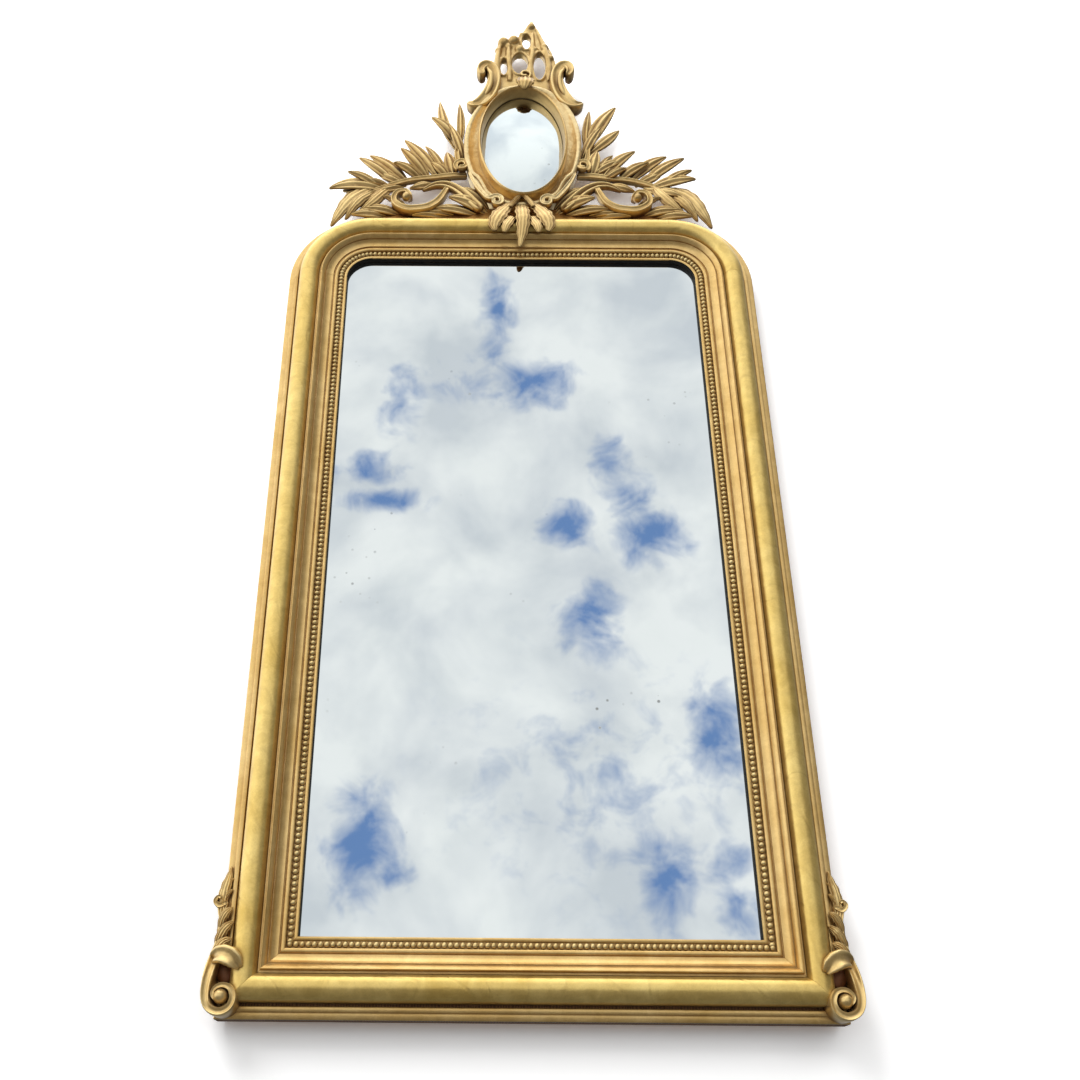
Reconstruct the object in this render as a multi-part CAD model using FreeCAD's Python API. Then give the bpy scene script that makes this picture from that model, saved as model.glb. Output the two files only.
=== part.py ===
"""Carved giltwood trumeau mirror, built from its separate pieces (millimetres, +Z up).

X runs along the frame, Y towards the wall and Z up.  The origin lies on the base of the
frame, on its centre line, at the middle of the pine carcass's thickness.

Two short scales place everything on the frame:
  in   - distance inwards from the frame's outer edge (0 at the edge, BORDER at the sight edge)
  rise - height above the back of the frame, towards the room
"""
import FreeCAD, Part
import math
import os

V = FreeCAD.Vector

# ---- frame ---------------------------------------------------------------------------
FRAME_WIDTH = 800.0            # outer edges of the two stiles
FRAME_HEIGHT = 1340.0          # base to the top edge of the frame, without the crest
BORDER = 100.0                 # outer edge to sight edge
CORNER_RADIUS = 142.0          # outer edge of the two rounded top corners
CARCASS_THICKNESS = 27.0       # pine boards behind the mouldings
GLASS_REBATE = 14.0            # the rebate for the plate, outside the sight edge
PLANK_REBATE = 26.0            # the rebate for the back planks, outside the sight edge
PLANK_REBATE_DEPTH = 9.0

# ---- mouldings -----------------------------------------------------------------------
LIP_WIDTH = 15.5               # stepped lip along the outer edge
LIP_RISE = 30.0                # its low outer step
LIP_STEP_RISE = 34.0           # its raised inner step
LIP_STEP_IN = 8.6              # where the raised step starts
TORUS_IN = 19.5                # outer side of the big half-round
TORUS_WIDTH = 34.0
TORUS_RISE = 60.8              # its front
SIGHT_RISE = 37.0              # front of the fillet at the sight edge
SIGHT_FILLET = 5.2             # its width
BEAD_CHANNEL = 9.6             # width of the channel that carries the pearls
CHANNEL_RISE = 34.2            # its floor
BEAD_RADIUS = 4.2              # the row of pearls
BEAD_RISE = 39.7               # its front
OVOLO_WIDTH = 6.7              # rounded fillet outside the pearls
OVOLO_RISE = 41.0
QUIRK = 1.5                    # thin line beside it, and beside the cove
COVE_WIDTH = 11.0              # broad rising band
COVE_RISE = 47.0               # its outer edge
CREST_BAND_RISE = 54.6         # the highest band, next to the torus
CREST_BAND_WIDTH = 7.5
GROOVE_RISE = 47.0             # floor of the groove next to the torus

# ---- plate and back ------------------------------------------------------------------
PLATE_THICKNESS = 5.0
PLATE_GAP = 0.3                # between the plate and the moulding in front of it
PLATE_SIDE_GAP = 4.0           # between the plate's edge and the rebate
PLANK_COUNT = 3
PLANK_THICKNESS = 8.0
PLANK_GAP = 1.0
BLOCK_SIZE = 9.0               # glazing blocks, three-sided, glued behind the plate
BLOCK_LENGTH = 60.0
BLOCKS_PER_STILE = 4
BLOCKS_PER_RAIL = 2
NAIL_SHANK = 2.4               # square cut nails
NAIL_HEAD = 6.0
NAIL_HEAD_THICKNESS = 1.0
NAIL_DEPTH = 15.0              # from the plank's back into the carcass

# ---- crest ---------------------------------------------------------------------------
CREST_X = 2.5                  # the crest sits a little right of the centre line
CREST_BACK = 8.0               # back of every carved crest piece
BASE_RAIL_REACH = 38.0         # how far its ends run out over the rounded corners
BASE_RAIL_HEIGHT = 26.0
BASE_RAIL_FRONT = 26.0
CREST_LEAN = 0.022             # the old carving leans a little to the right as it rises
OVAL_UP = 173.0                # centre of the oval glass above the frame's top edge
OVAL_SIGHT_HALF_WIDTH = 71.0   # the oval seen inside the bezel
OVAL_SIGHT_HALF_HEIGHT = 127.0
OVAL_THICKNESS = 5.0
OVAL_BACK = 27.5               # back of the oval glass
OVAL_BEVEL = 9.0
OVAL_BEVEL_DROP = 1.6
OVAL_CLEARANCE = 0.5
BACKING_THICKNESS = 9.0
BEZEL_LAP = 6.0                # how far the bezel covers the glass
BEZEL_WIDTH = 11.5             # from its sight edge outwards
BEZEL_RISE = 57.0
BODY_UP = 173.0                # centre of the cartouche above the frame's top edge
BODY_HALF_WIDTH = 109.0
BODY_HALF_HEIGHT = 155.0
BODY_FOOT_HALF = 58.0          # half-width where it stands on the base rail
BODY_FOOT_UP = 10.0            # how far above the frame's top edge it ends
BODY_TURN = 157.5              # how far its oval part turns down from the top, each side
BODY_FRONT = 45.0              # rim of the cartouche
DISH_FLOOR = 36.0              # its sunk field beside the bezel
DISH_INSET = 10.0              # the rim's width, where the field begins
FINIAL_BACK = 18.0
FINIAL_FRONT = 31.0
BATTEN_X = 45.0                # two pine battens that carry the crest
BATTEN_WIDTH = 30.0
BATTEN_DROP = 65.0             # how far they reach down behind the top rail
BATTEN_REACH = 80.0            # how far they stand above it

# ---- hangers -------------------------------------------------------------------------
HANGER_DROP = 220.0            # the rings' pivots below the frame's top edge
STRAP_WIDTH = 24.0
STRAP_LENGTH = 64.0
STRAP_THICKNESS = 2.0
WIRE_RADIUS = 2.2
RING_RADIUS = 15.0             # centre line of the round part of the ring
BARREL_WALL = 1.6
BARREL_LENGTH = 14.0
RUNNING_FIT = 0.1              # all round the ring's bar in its barrel
SCREW_RADIUS = 2.0
SCREW_HEAD_RADIUS = 4.0
SCREW_HEAD_HEIGHT = 1.6
SCREW_LENGTH = 14.0

# ---- derived -------------------------------------------------------------------------
FLAT_ANGLE = 10.0              # turned and carved curves are cut in flats of this angle
HALF_WIDTH = FRAME_WIDTH / 2.0
HALF_THICK = CARCASS_THICKNESS / 2.0
CORNER_X = HALF_WIDTH - CORNER_RADIUS
CORNER_Z = FRAME_HEIGHT - CORNER_RADIUS
TORUS_OUT = TORUS_IN + TORUS_WIDTH
BOARD_WIDTH = BORDER - GLASS_REBATE
PLATE_FRONT = CARCASS_THICKNESS - PLATE_GAP
PLATE_BACK = PLATE_FRONT - PLATE_THICKNESS
OVAL_X = CREST_X + CREST_LEAN * OVAL_UP
OVAL_Z = FRAME_HEIGHT + OVAL_UP
HANGER_Z = FRAME_HEIGHT - HANGER_DROP
HANGER_X = HALF_WIDTH - BOARD_WIDTH / 2.0  # the middle of the stile's board
WALL_SIDE = -200.0             # any rise well behind the piece, for cutting tools
ROOM_SIDE = 300.0              # any rise well in front


def at(x, z, rise):
    """The point at x along, z up and rise in front of the back of the frame."""
    return V(x, HALF_THICK - rise, z)


def box(x0, x1, z0, z1, rise0, rise1):
    """A box between two x, two z and two rises."""
    corner = at(x0, z0, rise1)
    return Part.makeBox(x1 - x0, rise1 - rise0, z1 - z0, corner)


def raise_outline(outline, rise0, rise1):
    """A flat closed outline (a wire in the plane rise = 0) made solid between two rises."""
    face = Part.Face(outline)
    face.translate(V(0, -rise0, 0))
    return face.extrude(V(0, rise0 - rise1, 0))


def mirrored(shape, about_x=0.0):
    """The same piece for the other side of the plane x = about_x."""
    return shape.mirror(V(about_x, 0, 0), V(1, 0, 0))


def rounded_outline(inset, radius=None):
    """Outline at a distance inside the frame's edge, with the two top corners rounded."""
    r = CORNER_RADIUS - inset if radius is None else radius
    x = HALF_WIDTH - inset
    top = FRAME_HEIGHT - inset
    cx, cz = x - r, top - r
    s = r * math.sqrt(0.5)
    edges = [
        Part.LineSegment(at(-x, inset, 0), at(x, inset, 0)),
        Part.LineSegment(at(x, inset, 0), at(x, cz, 0)),
        Part.Arc(at(x, cz, 0), at(cx + s, cz + s, 0), at(cx, top, 0)),
        Part.LineSegment(at(cx, top, 0), at(-cx, top, 0)),
        Part.Arc(at(-cx, top, 0), at(-cx - s, cz + s, 0), at(-x, cz, 0)),
        Part.LineSegment(at(-x, cz, 0), at(-x, inset, 0)),
    ]
    return Part.Wire([e.toShape() for e in edges])


def skin(rings, closed=False):
    """A solid through rings of points, in flat facets: capped, or closed back on its first ring."""
    ends = [] if closed else [rings[0], rings[-1]]
    faces = [Part.Face(Part.makePolygon(r + r[:1])) for r in ends]
    for low, high in zip(rings, rings[1:] + rings[:1] if closed else rings[1:]):
        for j in range(len(low)):
            k = (j + 1) % len(low)
            for corners in ((low[j], low[k], high[k]), (low[j], high[k], high[j])):
                faces.append(Part.Face(Part.makePolygon(list(corners) + [corners[0]])))
    solid = Part.Solid(Part.Shell(faces))
    if solid.Volume < 0:
        solid.reverse()
    return solid


# ---- carcass -------------------------------------------------------------------------
def carcass_pieces():
    """Half-lapped pine boards with a rebate for the plate and one for the back planks."""
    ring = raise_outline(rounded_outline(0.0), 0.0, CARCASS_THICKNESS)
    ring = ring.cut(raise_outline(rounded_outline(BOARD_WIDTH), WALL_SIDE, ROOM_SIDE))
    plank_x = HALF_WIDTH - BORDER + PLANK_REBATE
    plank_z0 = BORDER - PLANK_REBATE
    plank_z1 = FRAME_HEIGHT - BORDER + PLANK_REBATE
    ring = ring.cut(box(-plank_x, plank_x, plank_z0, plank_z1, 0.0, PLANK_REBATE_DEPTH))
    ring = ring.cut(batten_space())

    inner_x = HALF_WIDTH - BOARD_WIDTH
    low, high = BOARD_WIDTH, FRAME_HEIGHT - BOARD_WIDTH
    lap = HALF_THICK
    block = CORNER_RADIUS - BORDER + GLASS_REBATE
    pieces = {}
    corner = box(-inner_x, block - inner_x, high - block, high, 0.0, CARCASS_THICKNESS)
    stile = box(-HALF_WIDTH, -inner_x, 0.0, FRAME_HEIGHT, lap, CARCASS_THICKNESS)
    stile = stile.fuse(box(-HALF_WIDTH, -inner_x, low, high, 0.0, lap))
    rail = box(-inner_x, inner_x, 0.0, low, lap, CARCASS_THICKNESS)
    rail = rail.fuse(box(-HALF_WIDTH, HALF_WIDTH, 0.0, low, 0.0, lap))
    top = box(-inner_x, inner_x, high, FRAME_HEIGHT, lap, CARCASS_THICKNESS)
    top = top.fuse(box(-HALF_WIDTH, HALF_WIDTH, high, FRAME_HEIGHT, 0.0, lap))
    pieces["left_stile"] = ring.common(stile)
    pieces["right_stile"] = ring.common(mirrored(stile))
    pieces["bottom_rail"] = ring.common(rail)
    pieces["top_rail"] = ring.common(top)
    pieces["left_corner_block"] = ring.common(corner)
    pieces["right_corner_block"] = ring.common(mirrored(corner))
    return pieces


# ---- mouldings -----------------------------------------------------------------------
def lip_profile():
    """Stepped lip along the outer edge, as (in, rise) points."""
    base = CARCASS_THICKNESS
    return [
        (0.0, base), (0.0, LIP_RISE - 1.0), (1.0, LIP_RISE), (LIP_STEP_IN - 1.2, LIP_RISE),
        (LIP_STEP_IN, LIP_RISE + 0.6), (LIP_STEP_IN, LIP_STEP_RISE - 1.0),
        (LIP_STEP_IN + 1.2, LIP_STEP_RISE), (LIP_WIDTH - 1.4, LIP_STEP_RISE),
        (LIP_WIDTH, LIP_STEP_RISE - 1.6), (LIP_WIDTH, base),
    ]


def inner_profile():
    """Sight fillet, pearl channel, ovolo, rising cove and the high band, as (in, rise) points."""
    base = CARCASS_THICKNESS
    sight = BORDER
    a = sight - SIGHT_FILLET
    b = a - BEAD_CHANNEL
    c = b - OVOLO_WIDTH
    d = c - QUIRK
    e = d - COVE_WIDTH
    f = e - QUIRK
    g = f - CREST_BAND_WIDTH
    return [
        (sight, base), (sight, SIGHT_RISE - 1.6), (sight - 1.2, SIGHT_RISE),
        (a + 1.2, SIGHT_RISE), (a, SIGHT_RISE - 1.4), (a, CHANNEL_RISE),
        (b, CHANNEL_RISE), (b, OVOLO_RISE - 2.2), (b - 1.4, OVOLO_RISE - 0.3),
        ((b + c) / 2.0, OVOLO_RISE), (c + 1.0, OVOLO_RISE - 0.6), (c, OVOLO_RISE - 2.4),
        (d, OVOLO_RISE - 2.4), (d, OVOLO_RISE + 0.5),
        (d - 0.45 * COVE_WIDTH, OVOLO_RISE + 1.6), (d - 0.8 * COVE_WIDTH, COVE_RISE - 1.8),
        (e, COVE_RISE), (e, COVE_RISE - 1.4), (f, COVE_RISE - 1.4), (f, COVE_RISE + 2.0),
        (f - 0.4 * CREST_BAND_WIDTH, COVE_RISE + 4.6), (g + 1.4, CREST_BAND_RISE),
        (g, CREST_BAND_RISE - 0.8), (g, GROOVE_RISE), (TORUS_OUT, GROOVE_RISE), (TORUS_OUT, base),
    ]


def half_round(u0, u1, foot, front, radius, flats):
    """A half-round on straight sides between two insets, as (in, rise) points."""
    middle, spring = (u0 + u1) / 2.0, front - radius
    crown = [(middle + radius * math.cos(math.pi * i / flats),
              spring + radius * math.sin(math.pi * i / flats)) for i in range(flats + 1)]
    return [(u0, foot), (u1, foot)] + crown


def torus_profile():
    """The big half-round."""
    return half_round(TORUS_IN, TORUS_OUT, CARCASS_THICKNESS, TORUS_RISE, TORUS_WIDTH / 2.0, 10)


def pearl_profile():
    """The row of pearls as a half-round strip, standing in its channel."""
    middle = BORDER - SIGHT_FILLET - BEAD_CHANNEL / 2.0
    return half_round(middle - BEAD_RADIUS, middle + BEAD_RADIUS, CHANNEL_RISE, BEAD_RISE,
                      BEAD_RADIUS, 5)


def moulding_runs(profile):
    """Left, right, bottom and top lengths and two quarter-round corners of one moulding."""
    def run(place, along):
        corners = [place(u, rise) for u, rise in profile]
        return Part.Face(Part.makePolygon(corners + corners[:1])).extrude(along)

    def ring(turn):
        c, d = math.cos(math.radians(turn)), math.sin(math.radians(turn))
        return [at(-CORNER_X - (CORNER_RADIUS - u) * c, CORNER_Z + (CORNER_RADIUS - u) * d, rise)
                for u, rise in profile]

    left = run(lambda u, rise: at(-HALF_WIDTH + u, 0.0, rise), V(0, 0, CORNER_Z))
    bottom = run(lambda u, rise: at(-HALF_WIDTH, u, rise), V(FRAME_WIDTH, 0, 0))
    top = run(lambda u, rise: at(-CORNER_X, FRAME_HEIGHT - u, rise), V(2.0 * CORNER_X, 0, 0))
    corner = skin([ring(i * FLAT_ANGLE) for i in range(round(90.0 / FLAT_ANGLE) + 1)])
    left = left.common(mitre_side())
    bottom = bottom.cut(mitre_side()).cut(mirrored(mitre_side()))
    return {"left": left, "right": mirrored(left), "bottom": bottom, "top": top,
            "left_corner": corner, "right_corner": mirrored(corner)}


def mitre_side():
    """Everything on the stile's side of the bottom left mitre."""
    far = 3.0 * BORDER
    start = at(-HALF_WIDTH - far, -far, WALL_SIDE)
    points = [start, at(-HALF_WIDTH + far, far, WALL_SIDE),
              at(-HALF_WIDTH + far, FRAME_HEIGHT, WALL_SIDE),
              at(-HALF_WIDTH - far, FRAME_HEIGHT, WALL_SIDE), start]
    return Part.Face(Part.makePolygon(points)).extrude(V(0, WALL_SIDE - ROOM_SIDE, 0))


def moulding_pieces():
    """Every length of lip, torus, inner moulding and pearl strip."""
    profiles = {"lip": lip_profile(), "torus": torus_profile(),
                "inner_moulding": inner_profile(), "pearls": pearl_profile()}
    pieces = {}
    for name, profile in profiles.items():
        for side, run in moulding_runs(profile).items():
            pieces[side + "_" + name] = run
    arch = [pieces.pop(n) for n in ("left_corner_pearls", "right_corner_pearls")]
    pieces["top_pearls"] = pieces["top_pearls"].multiFuse(arch).removeSplitter()
    return pieces


# ---- plate and back ------------------------------------------------------------------
def plate_piece():
    """The mirror plate, its top corners rounded to follow the sight edge."""
    inset = BORDER - GLASS_REBATE + PLATE_SIDE_GAP
    return raise_outline(rounded_outline(inset), PLATE_BACK, PLATE_FRONT)


def nail_places():
    """Where the cut nails go: x, z of each, in pairs at the ends of every plank."""
    width = plank_width()
    x0 = -(HALF_WIDTH - BORDER + PLANK_REBATE) + PLANK_GAP
    ledge = (PLANK_REBATE - GLASS_REBATE) / 2.0
    z_low = BORDER - PLANK_REBATE + ledge
    z_high = FRAME_HEIGHT - BORDER + PLANK_REBATE - ledge
    places = []
    for i in range(PLANK_COUNT):
        for part in (0.25, 0.75):
            x = x0 + i * (width + PLANK_GAP) + part * width
            places += [(x, z_low), (x, z_high)]
    return places


def plank_width():
    """Width of one back plank, from the rebate and the gaps."""
    span = 2.0 * (HALF_WIDTH - BORDER + PLANK_REBATE) - (PLANK_COUNT + 1) * PLANK_GAP
    return span / PLANK_COUNT


def plank_pieces():
    """Thin pine planks that close the back, nailed on the ledge of the rebate."""
    z0 = BORDER - PLANK_REBATE + PLANK_GAP
    z1 = FRAME_HEIGHT - BORDER + PLANK_REBATE - PLANK_GAP
    x = -(HALF_WIDTH - BORDER + PLANK_REBATE) + PLANK_GAP
    front = PLANK_REBATE_DEPTH
    names = ["plank_%d" % (i + 1) for i in range(PLANK_COUNT)]
    planks = {}
    for name in names:
        planks["back_" + name] = box(x, x + plank_width(), z0, z1, front - PLANK_THICKNESS, front)
        x += plank_width() + PLANK_GAP
    return planks


def nail_shape(x, z, head_rise):
    """One square cut nail driven forwards, its head flat against the plank."""
    s, h = NAIL_SHANK / 2.0, NAIL_HEAD / 2.0
    head = box(x - h, x + h, z - h, z + h, head_rise - NAIL_HEAD_THICKNESS, head_rise)
    return head.fuse(box(x - s, x + s, z - s, z + s, head_rise, head_rise + NAIL_DEPTH))


def block_pieces():
    """Three-sided glazing blocks glued in the angle between the rebate and the plate's back."""
    edge_x = HALF_WIDTH - BOARD_WIDTH
    low, high = BOARD_WIDTH, FRAME_HEIGHT - BOARD_WIDTH

    def block(corner, inward, along):
        p = [at(corner[0], corner[1], PLATE_BACK),
             at(corner[0] + inward[0] * BLOCK_SIZE, corner[1] + inward[1] * BLOCK_SIZE, PLATE_BACK),
             at(corner[0], corner[1], PLATE_BACK - BLOCK_SIZE)]
        solid = Part.Face(Part.makePolygon(p + p[:1])).extrude(V(along[0], 0, along[1]))
        return solid

    blocks = []
    for i in range(BLOCKS_PER_STILE):
        z = low + (high - low) * (i + 0.5) / BLOCKS_PER_STILE - BLOCK_LENGTH / 2.0
        side = block((-edge_x, z), (1, 0), (0, BLOCK_LENGTH))
        blocks += [side, mirrored(side)]
    for i in range(BLOCKS_PER_RAIL):
        x = -edge_x + 2.0 * edge_x * (i + 0.5) / BLOCKS_PER_RAIL - BLOCK_LENGTH / 2.0
        blocks.append(block((x, low), (0, 1), (BLOCK_LENGTH, 0)))
        blocks.append(block((x, high), (0, -1), (BLOCK_LENGTH, 0)))
    return Part.makeCompound(blocks)


# ---- forms for carved work -----------------------------------------------------------
def on_crest(out, up, side=1):
    """(x, z) of a point beside the crest's centre line, up above the frame's top edge."""
    return CREST_X + CREST_LEAN * up + side * out, FRAME_HEIGHT + up


def oval_ring(x, z, half_width, half_height, rise, flat=FLAT_ANGLE):
    """Points round an upright oval facing the room."""
    turns = [math.radians(i * flat) for i in range(round(360.0 / flat))]
    return [at(x + half_width * math.cos(t), z + half_height * math.sin(t), rise) for t in turns]


def oval_solid(x, z, half_width, half_height, rise0, rise1, flat=FLAT_ANGLE):
    """An upright oval disc between two rises."""
    return skin([oval_ring(x, z, half_width, half_height, r, flat) for r in (rise0, rise1)])


def oval_stack(x, z, half_width, half_height, steps):
    """An oval disc whose edge follows steps of (growth, rise)."""
    return skin([oval_ring(x, z, half_width + g, half_height + g, r) for g, r in steps])


def polygon(sides):
    """Points round a circle of diameter 1."""
    turns = [2.0 * math.pi * i / sides for i in range(sides)]
    return [(math.cos(t) / 2.0, math.sin(t) / 2.0) for t in turns]


ROUND = polygon(6)
OCTAGON = polygon(8)
LEAF = [(-0.5, -0.2), (-0.24, 0.5), (0.0, 0.22), (0.24, 0.5), (0.5, -0.2), (0.0, -0.5)]


def swept(path, sizes, section):
    """A carved member: one section set square to a path of (x, z, rise), scaled by (width, depth)."""
    points = [at(*p) for p in path]
    rings = []
    for i, here in enumerate(points):
        ahead = points[min(i + 1, len(points) - 1)] - points[max(i - 1, 0)]
        ahead.normalize()
        side = ahead.cross(V(0, -1, 0))
        side.normalize()
        front = side.cross(ahead)
        width, depth = sizes[i]
        rings.append([here + side * (a * width) + front * (b * depth) for a, b in section])
    return skin(rings)


def leaf(base, tip, width, bend=0.0, rise=(20.0, 34.0, 30.0), thickness=8.0):
    """A pointed leaf with a sunk midrib, from base to tip (x, z), bowed sideways by bend."""
    (x0, z0), (x1, z1) = base, tip
    length = math.hypot(x1 - x0, z1 - z0)
    nx, nz = -(z1 - z0) / length, (x1 - x0) / length
    path, sizes = [], []
    for t, share in ((0.0, 0.34), (0.34, 0.94), (0.72, 0.86), (1.0, 0.1)):
        bow = 4.0 * t * (1.0 - t) * bend
        r = rise[0] * (1 - t) ** 2 + 2.0 * rise[1] * t * (1 - t) + rise[2] * t * t
        path.append((x0 + (x1 - x0) * t + nx * bow, z0 + (z1 - z0) * t + nz * bow, r))
        sizes.append((width * share, thickness * (0.45 + 0.55 * share)))
    return swept(path, sizes, LEAF)


def knob(x, z, rise, radius, depth):
    """A small rounded boss facing the room."""
    steps = ((-0.5, 0.5), (-0.2, 1.0), (0.25, 0.92), (0.5, 0.45))
    return skin([[at(x + 2.0 * a * r * radius, z + 2.0 * b * r * radius, rise + d * depth)
                  for a, b in OCTAGON] for d, r in steps])


def spiral(x, z, turns):
    """Points (x, z) about a centre, from (angle in degrees, radius) pairs."""
    return [(x + r * math.cos(math.radians(a)), z + r * math.sin(math.radians(a)))
            for a, r in turns]


def fused(shapes):
    """One solid from overlapping carved members."""
    return shapes[0].multiFuse(shapes[1:]).removeSplitter()


# ---- crest ---------------------------------------------------------------------------
def base_rail():
    """Low rail along the top of the frame that carries the crest, its ends swept down."""
    top = FRAME_HEIGHT + BASE_RAIL_HEIGHT
    slope = BASE_RAIL_HEIGHT * 0.6
    x = CORNER_X + BASE_RAIL_REACH
    corners = [at(-CORNER_X, FRAME_HEIGHT, 0), at(CORNER_X, FRAME_HEIGHT, 0),
               at(x - slope, top - slope, 0), at(x - 3.0 * slope, top, 0),
               at(3.0 * slope - x, top, 0), at(slope - x, top - slope, 0)]
    return raise_outline(Part.makePolygon(corners + corners[:1]), CREST_BACK, BASE_RAIL_FRONT)


def body_outline():
    """Outline of the cartouche: an upright oval drawn in at the foot."""
    half, steps = [], 12
    for i in range(steps + 1):
        turn = math.radians(90.0 - i * BODY_TURN / steps)
        half.append((BODY_HALF_WIDTH * math.cos(turn) ** 0.9,
                     BODY_UP + BODY_HALF_HEIGHT * math.sin(turn)))
    half.append((BODY_FOOT_HALF, BODY_FOOT_UP))
    right = [at(*on_crest(u, up), 0) for u, up in half]
    left = [at(*on_crest(u, up, -1), 0) for u, up in reversed(half[1:])]
    return Part.makePolygon(right + left + right[:1])


def cartouche(rail):
    """The carved cartouche: a rim round a sunk field, pierced for the oval glass."""
    body = raise_outline(body_outline(), CREST_BACK, BODY_FRONT)
    outer = (OVAL_SIGHT_HALF_WIDTH + BEZEL_WIDTH, OVAL_SIGHT_HALF_HEIGHT + BEZEL_WIDTH)
    field = oval_stack(OVAL_X, OVAL_Z, outer[0], outer[1],
                          [(0.0, DISH_FLOOR), (DISH_INSET, DISH_FLOOR + 3.0),
                           (DISH_INSET + 4.0, BODY_FRONT + 0.5)])
    body = body.cut(field)
    lap = BEZEL_LAP + OVAL_CLEARANCE
    hole = oval_solid(OVAL_X, OVAL_Z, OVAL_SIGHT_HALF_WIDTH + lap, OVAL_SIGHT_HALF_HEIGHT + lap,
                      WALL_SIDE, ROOM_SIDE)
    lobes = [knob(*on_crest(46.0, 22.0, side), BODY_FRONT - 2.0, 17.0, 14.0) for side in (-1, 1)]
    return body.cut(hole).multiFuse(lobes).cut(rail)


def bezel():
    """Deep oval moulding that holds the glass: a steep cove up to a rounded ridge."""
    foot = OVAL_BACK + OVAL_THICKNESS + PLATE_GAP
    hw, hh = OVAL_SIGHT_HALF_WIDTH, OVAL_SIGHT_HALF_HEIGHT
    w = BEZEL_WIDTH
    section = [(BEZEL_LAP, foot), (BEZEL_LAP, DISH_FLOOR), (w, DISH_FLOOR), (w, BEZEL_RISE - 4.0),
               (w - 3.4, BEZEL_RISE), (w - 6.6, BEZEL_RISE - 3.0), (1.6, foot + 9.0), (0.0, foot)]
    return skin([oval_ring(OVAL_X, OVAL_Z, hw + g, hh + g, r) for g, r in section], closed=True)


def oval_glass():
    """Small oval plate with a bevelled front edge."""
    lap = BEZEL_LAP
    front = OVAL_BACK + OVAL_THICKNESS
    steps = [(lap, OVAL_BACK), (lap, front - OVAL_BEVEL_DROP), (lap - OVAL_BEVEL, front)]
    return oval_stack(OVAL_X, OVAL_Z, OVAL_SIGHT_HALF_WIDTH, OVAL_SIGHT_HALF_HEIGHT, steps)


def oval_backing():
    """Pine board behind the oval glass, in the same opening."""
    lap = BEZEL_LAP
    return oval_solid(OVAL_X, OVAL_Z, OVAL_SIGHT_HALF_WIDTH + lap, OVAL_SIGHT_HALF_HEIGHT + lap,
                      OVAL_BACK - BACKING_THICKNESS, OVAL_BACK)


def c_scroll(side):
    """C-scroll beside the finial: a tail thrown outwards, a back, and a curled head."""
    path = [(113, 285), (100, 276), (86, 282), (73, 300), (65, 322), (63, 344), (67, 363),
            (76, 374), (85, 370), (89, 357), (84, 346)]
    rises = [30, 32, 34, 36, 38, 39, 40, 41, 42, 42, 42]
    widths = [5, 17, 26, 28, 25, 23, 22, 21, 20, 18, 13]
    drawn_in = 7.0 if side < 0 else 0.0        # the left one was carved closer to the middle
    places = [on_crest(u - drawn_in, up, side) + (r,) for (u, up), r in zip(path, rises)]
    return swept(places, [(w, min(30.0, 14.0 + w)) for w in widths], ROUND)


def finial():
    """Pierced shell finial: four openings between fluted ribs, the right edge running to the tip."""
    outline = [(-58, 310), (-56, 398), (-54, 428), (-50, 456), (-43, 470), (-34, 473),
               (-27, 469), (-21, 477), (-12, 478), (-5, 488), (4, 507), (12, 524), (18, 523),
               (26, 498), (34, 473), (51, 430), (57, 404), (58, 310)]
    openings = [(-38, 391, 7.0, 24.0), (-7, 400, 15.5, 30.0), (31, 393, 11.5, 39.0),
                (5, 462, 8.5, 22.0)]
    corners = [at(*on_crest(u, up), 0) for u, up in outline]
    plate = raise_outline(Part.makePolygon(corners + corners[:1]), FINIAL_BACK, FINIAL_FRONT)
    for u, up, a, b in openings:
        x, z = on_crest(u, up)
        plate = plate.cut(oval_solid(x, z, a, b, WALL_SIDE, ROOM_SIDE, 3.0 * FLAT_ANGLE))
    ribs = [
        [(-50, 350), (-51, 385), (-50, 425), (-43, 462)],
        [(-26, 350), (-27, 382), (-30, 428), (-30, 466)],
        [(13, 360), (14, 395), (17, 432), (16, 496)],
        [(48, 350), (50, 385), (42, 435), (22, 506)],
    ]
    shapes = [plate]
    for rib in ribs:
        places = [on_crest(u, up) + (FINIAL_FRONT,) for u, up in rib]
        shapes.append(swept(places, [(9, 10), (10, 13), (11, 15), (5, 8)], ROUND))
    for u, up, radius in ((-40, 459, 11.5), (-20, 466, 10.5), (-9, 440, 9.0)):
        shapes.append(knob(*on_crest(u, up), FINIAL_FRONT, radius, 2.0 * radius))
    return fused(shapes)


def clasp():
    """Small leaf that folds over the top of the bezel."""
    top = OVAL_UP + OVAL_SIGHT_HALF_HEIGHT
    path = [(3, 44, 42), (3, 28, 53), (3, 8, 60), (2, -8, 58), (1, -18, 48)]
    places = [on_crest(u, top + over) + (r,) for u, over, r in path]
    return swept(places, [(14, 12), (24, 14), (25, 14), (17, 12), (6, 6)], LEAF)


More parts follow.
